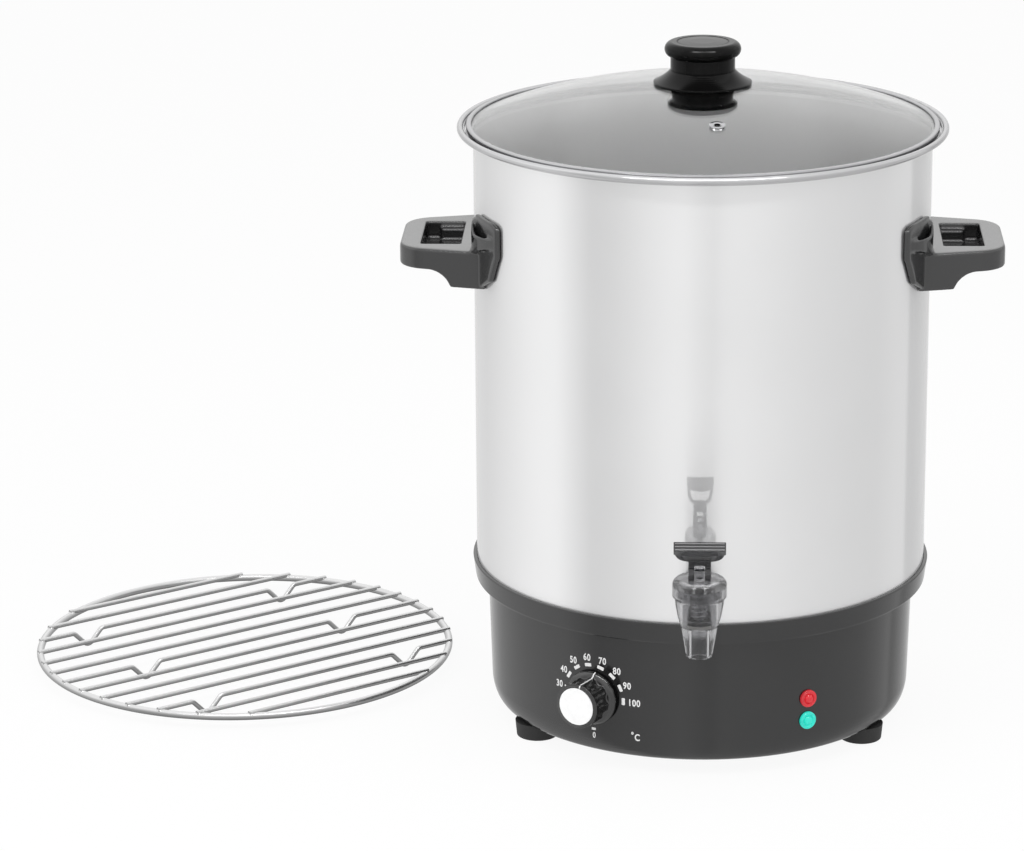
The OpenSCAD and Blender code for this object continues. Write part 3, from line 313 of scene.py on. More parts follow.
@dataclass(frozen=True)
class BrushedSteel(Finish):
    """Sheet brushed round the axis, whose reflections stretch up and down."""

    anisotropy: float = 0.8
    brush_turn: float = 0.25
    polish: float = 1.0
    polish_rough: float = 0.045
    polish_bend: float = 3.6
    bore: float = 179.5 * MM
    # Painted light on the inside, which grows darker towards its top as painted shade.
    bore_painted_light: Colour = grey(0.89)
    bore_painted_shade: Colour = grey(0.78)
    bore_painted_shade_range: Pair = (340.0 * MM, 465.0 * MM)
    # Painted highlight and painted shadow rings under the flange: height, reach and shade.
    painted_light_lines: tuple[Triple, ...] = ((472.8 * MM, 1.7 * MM, 1.0), (476.2 * MM, 1.6 * MM, 0.15))
    rim: float = 476.6 * MM
    bead: float = 186.3 * MM
    # Painted shade on the rolled rim, above the rim height and outside the bead.
    rim_painted_shade: Colour = (0.40, 0.40, 0.41)

    def vary(self, graph: Graph, tone: Socket) -> Socket:
        """Paints light on the inside with painted shade towards its top, a painted highlight and a
        painted shadow line at the bend under its flange, and painted shade on the rolled rim.

        Args:
            graph: the material's nodes.
            tone: colour of the brushed outside.

        Returns:
            The colour of the whole sheet.
        """
        x, y, z = graph.split(graph.place())
        flat = graph.add("ShaderNodeCombineXYZ", {"X": x, "Y": y}).outputs[0]
        radius = graph.add("ShaderNodeVectorMath", {0: flat}, operation="LENGTH").outputs["Value"]
        # Painted light on the inside, with painted shade towards its top.
        inside = graph.calculate("LESS_THAN", radius, self.bore)
        rise = graph.spread(z, 0.0, 1.0, *self.bore_painted_shade_range)
        upper = graph.calculate("MULTIPLY", inside, rise)
        sheet = graph.blend(upper, graph.blend(inside, tone, self.bore_painted_light), self.bore_painted_shade)
        # Painted highlight and painted shadow rings round the inside under the flange.
        for height, reach, shade in self.painted_light_lines:
            sheet = graph.blend(graph.level(inside, height, reach), sheet, grey(shade))
        # Painted shade on the rolled rim.
        above = graph.calculate("GREATER_THAN", z, self.rim)
        outer = graph.calculate("GREATER_THAN", radius, self.bead)
        return graph.blend(graph.calculate("MULTIPLY", above, outer), sheet, self.rim_painted_shade)

    def tune(self, graph: Graph, shader: bpy.types.Node) -> None:
        """Turns the highlights across the brushing and adds the polish on it.

        Args:
            graph: the material's nodes.
            shader: the shader that takes the values.
        """
        tangent = graph.add("ShaderNodeTangent", direction_type="RADIAL", axis="Z")
        graph.feed(shader, {
            "Coat Weight": self.polish, "Coat Roughness": self.polish_rough,
            "Coat IOR": self.polish_bend, "Anisotropic": self.anisotropy,
            "Anisotropic Rotation": self.brush_turn, "Tangent": tangent.outputs[0]})


@dataclass(frozen=True)
class SeeThrough(Finish):
    """Glass or clear plastic."""

    clear: float = 1.0

    def tune(self, graph: Graph, shader: bpy.types.Node) -> None:
        """Lets light through."""
        graph.feed(shader, {"Transmission Weight": self.clear})


@dataclass(frozen=True)
class Lens(SeeThrough):
    """Tinted lens with a light behind it."""

    glow: float = 0.2

    def tune(self, graph: Graph, shader: bpy.types.Node) -> None:
        """Adds the glow to the clear plastic."""
        super().tune(graph, shader)
        graph.feed(shader, {"Emission Color": (*self.colour, 1.0), "Emission Strength": self.glow})


STEEL = BrushedSteel(
    "vessel_steel", (0.86, 0.86, 0.865), 0.42, metallic=1.0, mottle=0.012, rough_spread=0.03,
    grain_scale=1.0, stretch=(6.0, 6.0, 2600.0), grain_depth=0.004 * MM)
# A darker copy of the steel: its colour is painted shade standing in for the rim's dark
# reflections.
SHADED_RIM_STEEL = Finish(
    "rolled_rim_steel", (0.46, 0.46, 0.47), 0.14, metallic=1.0, mottle=0.02, rough_spread=0.04,
    grain_scale=300.0, grain_depth=0.004 * MM)
BASE_BLACK = Finish(
    "base_plastic", (0.009, 0.009, 0.0093), 0.12, mottle=0.12, rough_spread=0.03,
    grain_scale=2600.0, grain_depth=0.002 * MM, gloss=0.78)
# Its top colour is painted light on the handles' flat tops, held to the height of the top.
HANDLE_BLACK = Finish(
    "handle_plastic", (0.018, 0.018, 0.0185), 0.15, mottle=0.10, rough_spread=0.04,
    grain_scale=2200.0, grain_depth=0.004 * MM, wear=0.05, gloss=0.9, top=grey(0.165),
    painted_light_level=(395.5 * MM, 2.2 * MM))
KNOB_BLACK = Finish(
    "knob_plastic", grey(0.004), 0.12, mottle=0.15, rough_spread=0.02, grain_scale=2200.0,
    grain_depth=0.001 * MM, edge=0.4 * MM, gloss=0.3, bend=1.3)
DIAL_BLACK = Finish(
    "dial_plastic", grey(0.006), 0.17, mottle=0.15, rough_spread=0.03, grain_scale=2200.0,
    grain_depth=0.002 * MM, wear=0.03, gloss=1.0)
INNER_BLACK = Finish("inner_plastic", grey(0.020), 0.4, mottle=0.10, edge=0.4 * MM)
RUBBER = Finish(
    "foot_rubber_moulded", grey(0.018), 0.62, mottle=0.15, grain_scale=900.0,
    grain_depth=0.03 * MM)
ZINC = Finish(
    "zinc_sheet", (0.55, 0.56, 0.58), 0.42, metallic=0.9, mottle=0.12, mottle_scale=60.0,
    rough_spread=0.10, grain_scale=260.0)
FASTENER = Finish(
    "zinc_fastener", (0.58, 0.58, 0.60), 0.34, metallic=1.0, mottle=0.10, mottle_scale=200.0,
    edge=0.15 * MM)
GLASS = SeeThrough(
    "lid_glass_clear", (0.93, 0.934, 0.934), 0.012, mottle=0.004, rough_spread=0.012,
    grain_scale=30.0, grain_depth=0.001 * MM)
SMOKE = SeeThrough(
    "smoke_plastic_clear", (0.52, 0.52, 0.53), 0.13, mottle=0.04, rough_spread=0.02,
    grain_scale=500.0, grain_depth=0.002 * MM, bend=1.47)
SMOKE_DARK = SeeThrough(
    "smoke_plastic_dark", (0.07, 0.07, 0.073), 0.08, mottle=0.08, rough_spread=0.03,
    grain_scale=500.0, grain_depth=0.003 * MM, clear=0.55, bend=1.47)
SMOKE_RIB = Finish(
    "smoke_plastic_rib", (0.20, 0.20, 0.205), 0.16, mottle=0.10, rough_spread=0.03, gloss=0.8)
SILICONE = Finish("silicone_seal", (0.70, 0.68, 0.64), 0.5, mottle=0.05)
SPRING = Finish(
    "spring_wire", (0.60, 0.60, 0.61), 0.26, metallic=1.0, mottle=0.08, mottle_scale=300.0)
DISC_WHITE = Finish("dial_disc_white", grey(0.90), 0.30, mottle=0.015, mottle_scale=120.0)
INK = Finish("printed_ink", grey(0.86), 0.45, mottle=0.03, mottle_scale=600.0)
RED = Lens("red_lens_plastic", (0.78, 0.035, 0.05), 0.14, mottle=0.05, clear=0.35, glow=0.12)
GREEN = Lens("green_lens_plastic", (0.03, 0.62, 0.52), 0.14, mottle=0.05, clear=0.35, glow=0.35)
PHENOLIC = Finish(
    "moulded_phenolic", (0.20, 0.17, 0.15), 0.5, mottle=0.12, grain_scale=700.0, edge=0.4 * MM)
COPPER = Finish(
    "drawn_copper", (0.62, 0.34, 0.20), 0.30, metallic=1.0, mottle=0.15, mottle_scale=60.0)
ALUMINIUM = Finish(
    "pressed_aluminium", (0.68, 0.69, 0.71), 0.40, metallic=1.0, mottle=0.06, grain_scale=500.0)
ELEMENT = Finish(
    "element_sheath_metal", (0.17, 0.15, 0.145), 0.46, metallic=0.8, mottle=0.25,
    mottle_scale=50.0)
# Its dark colour and light top colour are painted shade under the wires and painted light on their
# tops.
WIRE = Finish(
    "rack_wire_steel", grey(0.13), 0.34, metallic=1.0, mottle=0.10, mottle_scale=45.0,
    rough_spread=0.06, grain_scale=900.0, grain_depth=0.008 * MM, top=grey(0.72),
    painted_light_range=(-0.75, 1.0))

SLOT_FINISH: dict[str, Finish] = {
    "polished_steel": STEEL, "rim_steel": SHADED_RIM_STEEL, "base_black": BASE_BLACK,
    "handle_black": HANDLE_BLACK, "knob_black": KNOB_BLACK, "inner_black": INNER_BLACK,
    "foot_rubber": RUBBER, "zinc_plate": ZINC, "zinc_fasteners": FASTENER, "clear_glass": GLASS,
    "smoke_plastic": SMOKE, "silicone": SILICONE, "spring_steel": SPRING,
    "white_disc": DISC_WHITE, "red_lens": RED, "green_lens": GREEN, "phenolic": PHENOLIC,
    "copper_bulb": COPPER, "heater_aluminium": ALUMINIUM, "element_sheath": ELEMENT,
    "rack_wire": WIRE,
}


def turns(count: int, shift: float = 0.0) -> list[float]:
    """Gives evenly spaced angles of a full turn."""
    return [2 * math.pi * (k + shift) / count for k in range(count)]


def polar(radius: float, angle: float, height: float) -> Point:
    """Gives the point at a radius, an angle and a height."""
    return (radius * math.cos(angle), radius * math.sin(angle), height)


def add_object(name: str, data: bpy.types.ID) -> Piece:
    """Puts new data in the scene.

    Args:
        name: name of the object.
        data: its mesh, curve, light or camera.

    Returns:
        The linked object.
    """
    made = bpy.data.objects.new(name, data)
    bpy.context.scene.collection.objects.link(made)
    return made


def mesh_object(name: str, grid: bmesh.types.BMesh) -> Piece:
    """Turns a bmesh into an object with outward faces.

    Args:
        name: name of the object.
        grid: the bmesh, which is freed.

    Returns:
        The linked object.
    """
    bmesh.ops.remove_doubles(grid, verts=grid.verts, dist=MERGE_REACH)
    bmesh.ops.recalc_face_normals(grid, faces=grid.faces)
    mesh = bpy.data.meshes.new(name)
    grid.to_mesh(mesh)
    grid.free()
    return add_object(name, mesh)


def flatten(worked: Piece, name: str) -> Piece:
    """Makes a plain mesh of an object with modifiers and removes that object.

    Args:
        worked: the object with its modifiers.
        name: name of the plain piece.

    Returns:
        The plain piece.
    """
    graph = bpy.context.evaluated_depsgraph_get()
    mesh = bpy.data.meshes.new_from_object(worked.evaluated_get(graph))
    mesh.name = name
    bpy.data.objects.remove(worked)
    return add_object(name, mesh)


def paint(piece: Piece, finish: Finish) -> None:
    """Gives a mesh one finish all over."""
    piece.data.materials.clear()
    piece.data.materials.append(finish.material())


def settle(piece: Piece, body: Body, finish: Finish | None = None,
           stands_for: Sequence[str] = (), crease: float = 38.0) -> Piece:
    """Gives a piece its finish, its body and the nodes it stands for.

    Args:
        piece: the finished mesh.
        body: body that it rides on.
        finish: finish, or None where the mesh has its material already.
        stands_for: nodes that it replaces.
        crease: angle in degrees above which an edge stays sharp.

    Returns:
        The piece.
    """
    if finish:
        paint(piece, finish)
    piece.data.shade_smooth()
    piece.data.set_sharp_from_angle(angle=math.radians(crease))
    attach(piece, body.value)
    if stands_for:
        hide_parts(*stands_for)
    LOG.info("%s rides on %s with %d faces", piece.name, body.value, len(piece.data.polygons))
    return piece


def lathe(grid: bmesh.types.BMesh, profile: Sequence[Pair], steps: int) -> None:
    """Turns a profile round the z axis and adds it to a bmesh.

    Args:
        grid: bmesh that takes the faces.
        profile: radius and height of each point, from the axis to the axis.
        steps: faces round the axis.
    """
    rings = [[grid.verts.new(polar(radius, angle, height)) for angle in turns(steps)]
             for radius, height in profile]
    for low, high in zip(rings, rings[1:]):
        for k in range(steps):
            corners = [low[k], low[(k + 1) % steps], high[(k + 1) % steps], high[k]]
            if (corners[0].co - corners[1].co).length < POINT_REACH:
                corners = [corners[0], corners[2], corners[3]]
            elif (corners[2].co - corners[3].co).length < POINT_REACH:
                corners = corners[:3]
            grid.faces.new(corners)


class NodeTool:
    """A Geometry Nodes tree with named inputs, run on an object to give a plain mesh."""

    def __init__(self, name: str, inputs: dict[str, Kind]) -> None:
        """Starts the tree with its inputs.

        Args:
            name: name of the tree.
            inputs: type of each named input beside the geometry.
        """
        self.group = bpy.data.node_groups.new(name, "GeometryNodeTree")
        sockets = self.group.interface
        for way in ("INPUT", "OUTPUT"):
            sockets.new_socket("Geometry", in_out=way, socket_type="NodeSocketGeometry")
        self.identifiers = {
            key: sockets.new_socket(key, in_out="INPUT", socket_type=kind.value).identifier
            for key, kind in inputs.items()}
        self.graph = Graph(self.group)
        self.given = self.graph.add("NodeGroupInput").outputs

    def close(self, geometry: Socket) -> None:
        """Ends the tree in plain geometry with its material.

        Args:
            geometry: what the tree has made.
        """
        real = self.graph.add("GeometryNodeRealizeInstances", {"Geometry": geometry})
        painted = self.graph.add("GeometryNodeSetMaterial", {
            "Geometry": real.outputs[0], "Material": self.given["finish"]})
        self.graph.add("NodeGroupOutput", {0: painted.outputs[0]})

    def run(self, target: Piece, name: str, **values: object) -> Piece:
        """Runs the tree on an object.

        Args:
            target: object with the path or points, which is removed.
            name: name of the plain piece.
            values: value of each named input, with _ for a space.

        Returns:
            The plain piece.
        """
        modifier = target.modifiers.new(self.group.name, "NODES")
        modifier.node_group = self.group
        for key, value in values.items():
            modifier[self.identifiers[key.replace("_", " ")]] = value
        return flatten(target, name)


class WireTool(NodeTool):
    """Sweeps round wire along paths and rounds their corners."""

    def __init__(self) -> None:
        """Builds the tree."""
        super().__init__("wire along paths", {
            "wire radius": Kind.SIZE, "bend radius": Kind.SIZE, "bend steps": Kind.COUNT,
            "sides": Kind.COUNT, "finish": Kind.FINISH})
        bent = self.graph.add("GeometryNodeFilletCurve", {
            "Curve": self.given["Geometry"], "Radius": self.given["bend radius"],
            "Count": self.given["bend steps"], "Limit Radius": True}, mode="POLY")
        section = self.graph.add("GeometryNodeCurvePrimitiveCircle", {
            "Resolution": self.given["sides"], "Radius": self.given["wire radius"]})
        swept = self.graph.add("GeometryNodeCurveToMesh", {
            "Curve": bent.outputs[0], "Profile Curve": section.outputs[0], "Fill Caps": True})
        self.close(swept.outputs[0])

    def sweep(self, name: str, paths: Iterable[Sequence[Point]], wire: float, bend: float,
              finish: Finish, sides: int = 20, steps: int = 8, closed: bool = False) -> Piece:
        """Makes wires along paths.

        Args:
            name: name of the piece.
            paths: points of each wire's middle.
            wire: radius of the wire.
            bend: radius of the corners.
            finish: finish of the wire.
            sides: faces round the wire.
            steps: faces round each corner.
            closed: whether each path ends where it starts.

        Returns:
            The plain piece.
        """
        curve = bpy.data.curves.new(name, "CURVE")
        curve.dimensions = "3D"
        for path in paths:
            spline = curve.splines.new("POLY")
            spline.points.add(len(path) - 1)
            for point, place in zip(spline.points, path):
                point.co = (*place, 1.0)
            spline.use_cyclic_u = closed
        return self.run(add_object(f"{name}_path", curve), name, wire_radius=wire, bend_radius=bend,
                        bend_steps=steps, sides=sides, finish=finish.material())


class RepeatTool(NodeTool):
    """Sets copies of one small piece on points, each with its own facing and turn."""

    def __init__(self) -> None:
        """Builds the tree."""
        super().__init__("copies on points", {"piece": Kind.PIECE, "finish": Kind.FINISH})
        facing = self.graph.add(
            "GeometryNodeInputNamedAttribute", {"Name": "facing"}, data_type="FLOAT_VECTOR")
        turn = self.graph.add(
            "GeometryNodeInputNamedAttribute", {"Name": "turn"}, data_type="FLOAT")
        out = self.graph.add(
            "FunctionNodeAlignRotationToVector", {"Vector": facing.outputs[0]}, axis="Z")
        upright = self.graph.add("FunctionNodeAlignRotationToVector", {
            "Rotation": out.outputs[0], "Vector": UP}, axis="Y", pivot_axis="Z")
        about = self.graph.add("FunctionNodeAxisAngleToRotation", {
            "Axis": UP, "Angle": turn.outputs[0]})
        turned = self.graph.add("FunctionNodeRotateRotation", {
            "Rotation": upright.outputs[0], "Rotate By": about.outputs[0]}, rotation_space="LOCAL")
        shape = self.graph.add("GeometryNodeObjectInfo", {"Object": self.given["piece"]})
        copies = self.graph.add("GeometryNodeInstanceOnPoints", {
            "Points": self.given["Geometry"], "Instance": shape.outputs["Geometry"],
            "Rotation": turned.outputs[0]})
        self.close(copies.outputs[0])

    def repeat(self, name: str, shape: Piece, places: Sequence[Place], finish: Finish) -> Piece:
        """Sets copies at places.

        Args:
            name: name of the piece.
            shape: the piece to copy, which is removed.
            places: point, facing and turn in radians of each copy.
            finish: finish of the copies.

        Returns:
            The plain piece with all the copies.
        """
        mesh = bpy.data.meshes.new(f"{name}_points")
        mesh.from_pydata([point for point, _, _ in places], [], [])
        mesh.attributes.new("facing", "FLOAT_VECTOR", "POINT")
        mesh.attributes.new("turn", "FLOAT", "POINT")
        for k, (_, facing, turn) in enumerate(places):
            mesh.attributes["facing"].data[k].vector = facing
            mesh.attributes["turn"].data[k].value = turn
        paint(shape, finish)
        points = add_object(f"{name}_points", mesh)
        made = self.run(points, name, piece=shape, finish=finish.material())
        bpy.data.objects.remove(shape)
        return made


@dataclass
class Tools:
    """The Geometry Nodes trees that the sub-assemblies share."""

    wire: WireTool = field(default_factory=WireTool)
    repeat: RepeatTool = field(default_factory=RepeatTool)


@dataclass
class Assembly:
    """A sub-assembly that is built with the shared trees."""

    tools: Tools


@dataclass(frozen=True)
class Moulding:
    """How a moulded piece rounds the hard edges of its solid."""

    cell: float
    passes: int
    crease: float

    def mould(self, node: str, body: Body, slot: str, finish: Finish) -> Piece:
        """Copies a solid with its edges rounded and puts the copy in its place.

        Args:
            node: name of the solid.
            body: body that it rides on.
            slot: material slot of the record; not used.
            finish: finish of the copy.

        Returns:
            The rounded copy.
        """
        grid = bmesh.new()
        grid.from_mesh(frame["nodes"][node].data)
        worked = mesh_object(f"{node}_worked", grid)
        remesh = worked.modifiers.new("cells", "REMESH")
        remesh.mode = "VOXEL"
        remesh.voxel_size = self.cell
        smooth = worked.modifiers.new("rounding", "SMOOTH")
        smooth.factor = SMOOTH_SHARE
        smooth.iterations = self.passes
        made = flatten(worked, f"{node}_moulded")
        return settle(made, body, finish, [node], self.crease)


@dataclass(frozen=True)
class Screw:
    """A screw with a domed head and a cross recess."""

    head_radius: float
    head_height: float
    shank_radius: float
    shank_length: float
    point_share: float = 0.6
    brim_share: float = 0.35
    dome_step: int = 15
    sides: int = 28
    cross_height: float = 0.85
    cross_size: Triple = (1.1, 0.26, 0.9)

    def shape(self) -> Piece:
        """Builds the screw with its head's seat at the origin and its head towards +z.

        Returns:
            The screw.
        """
        r, h, shank = self.head_radius, self.head_height, self.shank_radius
        end, point = -self.shank_length, shank * self.point_share
        brim = self.brim_share
        dome = [(r * math.cos(a), h * (brim + (1 - brim) * math.sin(a)))
                for a in map(math.radians, range(0, 91, self.dome_step))]
        grid = bmesh.new()
        lathe(grid, [(0.0, end), (point, end), (shank, end + point), (shank, 0.0), (r, 0.0), *dome],
              self.sides)
        head = mesh_object("screw_shape", grid)
        cross = bmesh.new()
        long, wide, deep = self.cross_size
        for turn in (0.0, math.pi / 2):
            place = Matrix.Translation((0.0, 0.0, h * self.cross_height))
            size = Matrix.Diagonal((r * long, r * wide, h * deep, 1.0))
            bmesh.ops.create_cube(
                cross, size=1.0, matrix=place @ Matrix.Rotation(turn, 4, "Z") @ size)
        cutter = mesh_object("screw_cross", cross)
        cut = head.modifiers.new("cross", "BOOLEAN")
        cut.operation = "DIFFERENCE"
        cut.object = cutter
        cut.use_self = True
        made = flatten(head, "screw")
        bpy.data.objects.remove(cutter)
        return made

    def drive(self, tools: Tools, node: str, places: Sequence[Place]) -> None:
        """Sets screws in place of a node's plain ones.

        Args:
            tools: the shared node trees.
            node: the node that holds the plain ones.
            places: point, facing and turn of each screw.
        """
        name = f"{node.removesuffix('s')}_heads"
        made = tools.repeat.repeat(name, self.shape(), places, FASTENER)
        settle(made, Body.KETTLE, None, [node])


@dataclass
class Vessel(Assembly):
    """Steel vessel with its handles and their screws."""

    bore_radius: float = 179.2 * MM
    screw_height: float = 381.5 * MM
    screw_bearing: float = 9.0
    screw_turn: float = math.radians(20.0)
    screw: Screw = Screw(5.0 * MM, 2.5 * MM, 2.4 * MM, 6.8 * MM)
    moulding: Moulding = Moulding(0.95 * MM, 13, 80.0)

    def build(self) -> None:
        """Rounds the handles and sets their screws."""
        for node in ("handle_left", "handle_right"):
            self.moulding.mould(node, Body.KETTLE, "handle_black", HANDLE_BLACK)
        swing = self.screw_bearing
        bearings = map(math.radians, (swing, -swing, 180 - swing, 180 + swing))
        places = [(polar(self.bore_radius, a, self.screw_height), polar(-1.0, a, 0.0),
                   self.screw_turn) for a in bearings]
        self.screw.drive(self.tools, "handle_screws", places)


@dataclass
class Base(Assembly):
    """Moulded base with its feet, cover screws and printed scale."""

    low_radius: float = 168.4 * MM
    draft: float = 2.4 * MM
    edge_height: float = 33.0 * MM
    collar_height: float = 115.5 * MM
    cover_circle: float = 132.4 * MM
    cover_seat: float = 13.0 * MM
    cover_count: int = 6
    cover_turn: int = 3
    cover_screw: Screw = Screw(2.9 * MM, 2.0 * MM, 1.9 * MM, 7.0 * MM)
    foot_circle: float = 149.0 * MM
    foot_seat: float = 8.0 * MM
    foot_turn: int = 2
    foot_bearings: Triple = (-150.0, -30.0, 90.0)
    foot_screw: Screw = Screw(4.2 * MM, 3.0 * MM, 2.2 * MM, 14.0 * MM)
    dial_bearing: float = -29.2
    dial_height: float = 60.0 * MM
    first_mark: float = -82.3
    mark_step: float = 24.55
    mark_count: int = 7
    mark_radius: float = 26.3 * MM
    dash_half: Pair = (2.9 * MM, 1.35 * MM)
    dash_corner: float = 0.6 * MM
    dash_sides: int = 16
    first_number: int = 30
    number_step: int = 10
    number_radius: float = 32.6 * MM
    words: tuple[tuple[str, float, float, float], ...] = (
        ("100", 35.7 * MM, 0.1 * MM, 1.0), ("0", 0.5 * MM, -32.1 * MM, 0.85),
        ("-", 0.2 * MM, -26.9 * MM, 2.2), (".", -26.3 * MM, 3.6 * MM, 1.5),
        ("\N{DEGREE SIGN}", 33.5 * MM, -25.3 * MM, 1.0), ("C", 37.4 * MM, -28.5 * MM, 1.0))
    digit_height: float = 5.6 * MM
    digit_narrow: float = 0.80
    digit_space: float = 1.12
    digit_share: float = 0.72
    digit_steps: int = 4
    ink_depth: float = 0.10 * MM
    ink_spread: float = 0.16 * MM

    def wall_radius(self, height: float) -> float:
        """Gives the radius of the wall's outside at a height."""
        rise = (height - self.edge_height) / (self.collar_height - self.edge_height)
        return self.low_radius + self.draft * rise

    def on_wall(self, across: float, up: float, proud: float) -> Point:
        """Finds a point on the wall beside the dial.

        Args:
            across: distance round the wall to the right of the dial's middle.
            up: height above the dial's middle.
            proud: distance outside the wall.

        Returns:
            The point.
        """
        height = self.dial_height + up
        radius = self.wall_radius(height)
        bearing = math.radians(self.dial_bearing) + across / radius
        out = radius + proud
        return (out * math.sin(bearing), -out * math.cos(bearing), height)

    def on_scale(self, step: int, radius: float) -> Triple:
        """Gives the angle of a step of the scale, and its place across and up."""
        angle = math.radians(self.first_mark + step * self.mark_step)
        return angle, radius * math.sin(angle), radius * math.cos(angle)

    def build(self) -> None:
        """Sets the screws and prints the scale."""
        self.cover_screw.drive(self.tools, "cover_screws", [
            (polar(self.cover_circle, a, self.cover_seat), DOWN, self.cover_turn * a)
            for a in turns(self.cover_count)])
        self.foot_screw.drive(self.tools, "foot_screws", [
            (polar(self.foot_circle, a, self.foot_seat), DOWN, self.foot_turn * a)
            for a in map(math.radians, self.foot_bearings)])
        self.print_marks()
        self.print_numbers()

    def print_marks(self) -> None:
        """Prints the dashes round the dial."""
        places = []
        for step in range(1, self.mark_count + 1):
            angle, across, up = self.on_scale(step, self.mark_radius)
            spot = self.on_wall(across, up, 0.0)
            places.append((spot, tuple(Vector((spot[0], spot[1], 0.0)).normalized()), -angle))
        made = self.tools.repeat.repeat("scale_dashes", self.dash(), places, INK)
        settle(made, Body.KETTLE)

    def dash(self) -> Piece:
        """Builds one dash, a flat bar with rounded corners.

        Returns:
            The dash, lying at the origin.
        """
        grid = bmesh.new()
        corner = self.dash_corner
        outline = []
        for a in turns(self.dash_sides, 0.5):
            way = (math.cos(a), math.sin(a))
            outline.append([math.copysign(half - corner, w) + corner * w
                            for half, w in zip(self.dash_half, way)])
        low, high = ([grid.verts.new((x, y, z)) for x, y in outline]
                     for z in (-self.ink_depth, self.ink_depth))
        grid.faces.new(high)
        grid.faces.new(low[::-1])
        for k in range(self.dash_sides):
            after = (k + 1) % self.dash_sides
            grid.faces.new((low[k], low[after], high[after], high[k]))
        return mesh_object("dash_shape", grid)

    def print_numbers(self) -> None:
        """Prints the numbers, the dot at the low end, the off mark and the unit."""
        grid = bmesh.new()
        for step in range(self.mark_count):
            _, across, up = self.on_scale(step, self.number_radius)
            self.letter(grid, str(self.first_number + self.number_step * step), across, up)
        for word in self.words:
            self.letter(grid, *word)
        settle(mesh_object("scale_numbers", grid), Body.KETTLE, INK)

    def letter(self, grid: bmesh.types.BMesh, body: str, across: float, up: float,
               share: float = 1.0) -> None:
        """Adds printed characters to a bmesh.

        Args:
            grid: bmesh that takes them.
            body: the characters.
            across: distance of their middle to the right of the dial's middle.
            up: height of their middle above the dial's middle.
            share: their height as a share of a digit's.
        """
        text = bpy.data.curves.new("letter", "FONT")
        text.body = body
        text.size = self.digit_height * share / self.digit_share
        text.extrude = self.ink_depth
        text.offset = self.ink_spread
        text.space_character = self.digit_space
        text.resolution_u = self.digit_steps
        flat = flatten(add_object("letter", text), "letter_flat")
        spans = [[v.co[axis] for v in flat.data.vertices] for axis in (0, 1)]
        middle_x, middle_y = ((min(span) + max(span)) / 2 for span in spans)
        first = len(grid.verts)
        grid.from_mesh(flat.data)
        grid.verts.ensure_lookup_table()
        for vert in grid.verts[first:]:
            x = (vert.co.x - middle_x) * self.digit_narrow
            vert.co = self.on_wall(across + x, up + vert.co.y - middle_y, vert.co.z)
        bpy.data.objects.remove(flat)


@dataclass
class Dial(Assembly):
    """Thermostat's dial, with a pointer whose path is in mm from its axis and the wall."""

    base: Base
    moulding: Moulding = Moulding(0.42 * MM, 4, 60.0)
    pointer_angle: float = 10.0
    pointer_width: float = 1.0 * MM
    pointer_proud: float = 0.12 * MM
    pointer_path: tuple[Pair, ...] = (
        (22.4, 2.6), (21.8, 4.2), (20.6, 5.6), (19.2, 6.4), (18.3, 7.4), (18.3, 12.0),
        (18.3, 16.0), (18.3, 20.5), (18.3, 23.9), (17.6, 25.1), (16.6, 25.7), (15.2, 25.7))

    def to_frame(self, right: float, up: float, out: float) -> Vector:
        """Finds a point from its place on the dial.

        Args:
            right: distance to the right of the dial's axis.
            up: distance above it.
            out: distance from the wall.

        Returns:
            The point.
        """
        bearing = math.radians(self.base.dial_bearing)
        radius = self.base.wall_radius(self.base.dial_height) + out
        return Vector((radius * math.sin(bearing) + right * math.cos(bearing),
                       -radius * math.cos(bearing) + right * math.sin(bearing),
                       self.base.dial_height + up))

    def build(self) -> None:
        """Rounds the knob and lays the pointer on it."""
        knob = self.moulding.mould("thermostat_knob", Body.DIAL, "knob_black", DIAL_BLACK)
        surface = BVHTree.FromObject(knob, bpy.context.evaluated_depsgraph_get())
        a = math.radians(self.pointer_angle)
        grid = bmesh.new()
        rows = []
        for reach, out in self.pointer_path:
            row = []
            for shift in (-0.5 * self.pointer_width, 0.5 * self.pointer_width):
                right = reach * MM * math.sin(a) + shift * math.cos(a)
                up = reach * MM * math.cos(a) - shift * math.sin(a)
                place, normal, _, _ = surface.find_nearest(self.to_frame(right, up, out * MM))
                row += [grid.verts.new(place + normal * proud)
                        for proud in (self.pointer_proud, -self.pointer_proud)]
            rows.append(row)
        for one, other in zip(rows, rows[1:]):
            for k, j in ((0, 2), (2, 3), (3, 1), (1, 0)):
                grid.faces.new((one[k], one[j], other[j], other[k]))
        for row in (rows[0], rows[-1]):
            grid.faces.new((row[0], row[2], row[3], row[1]))
        settle(mesh_object("dial_pointer", grid), Body.DIAL, INK)


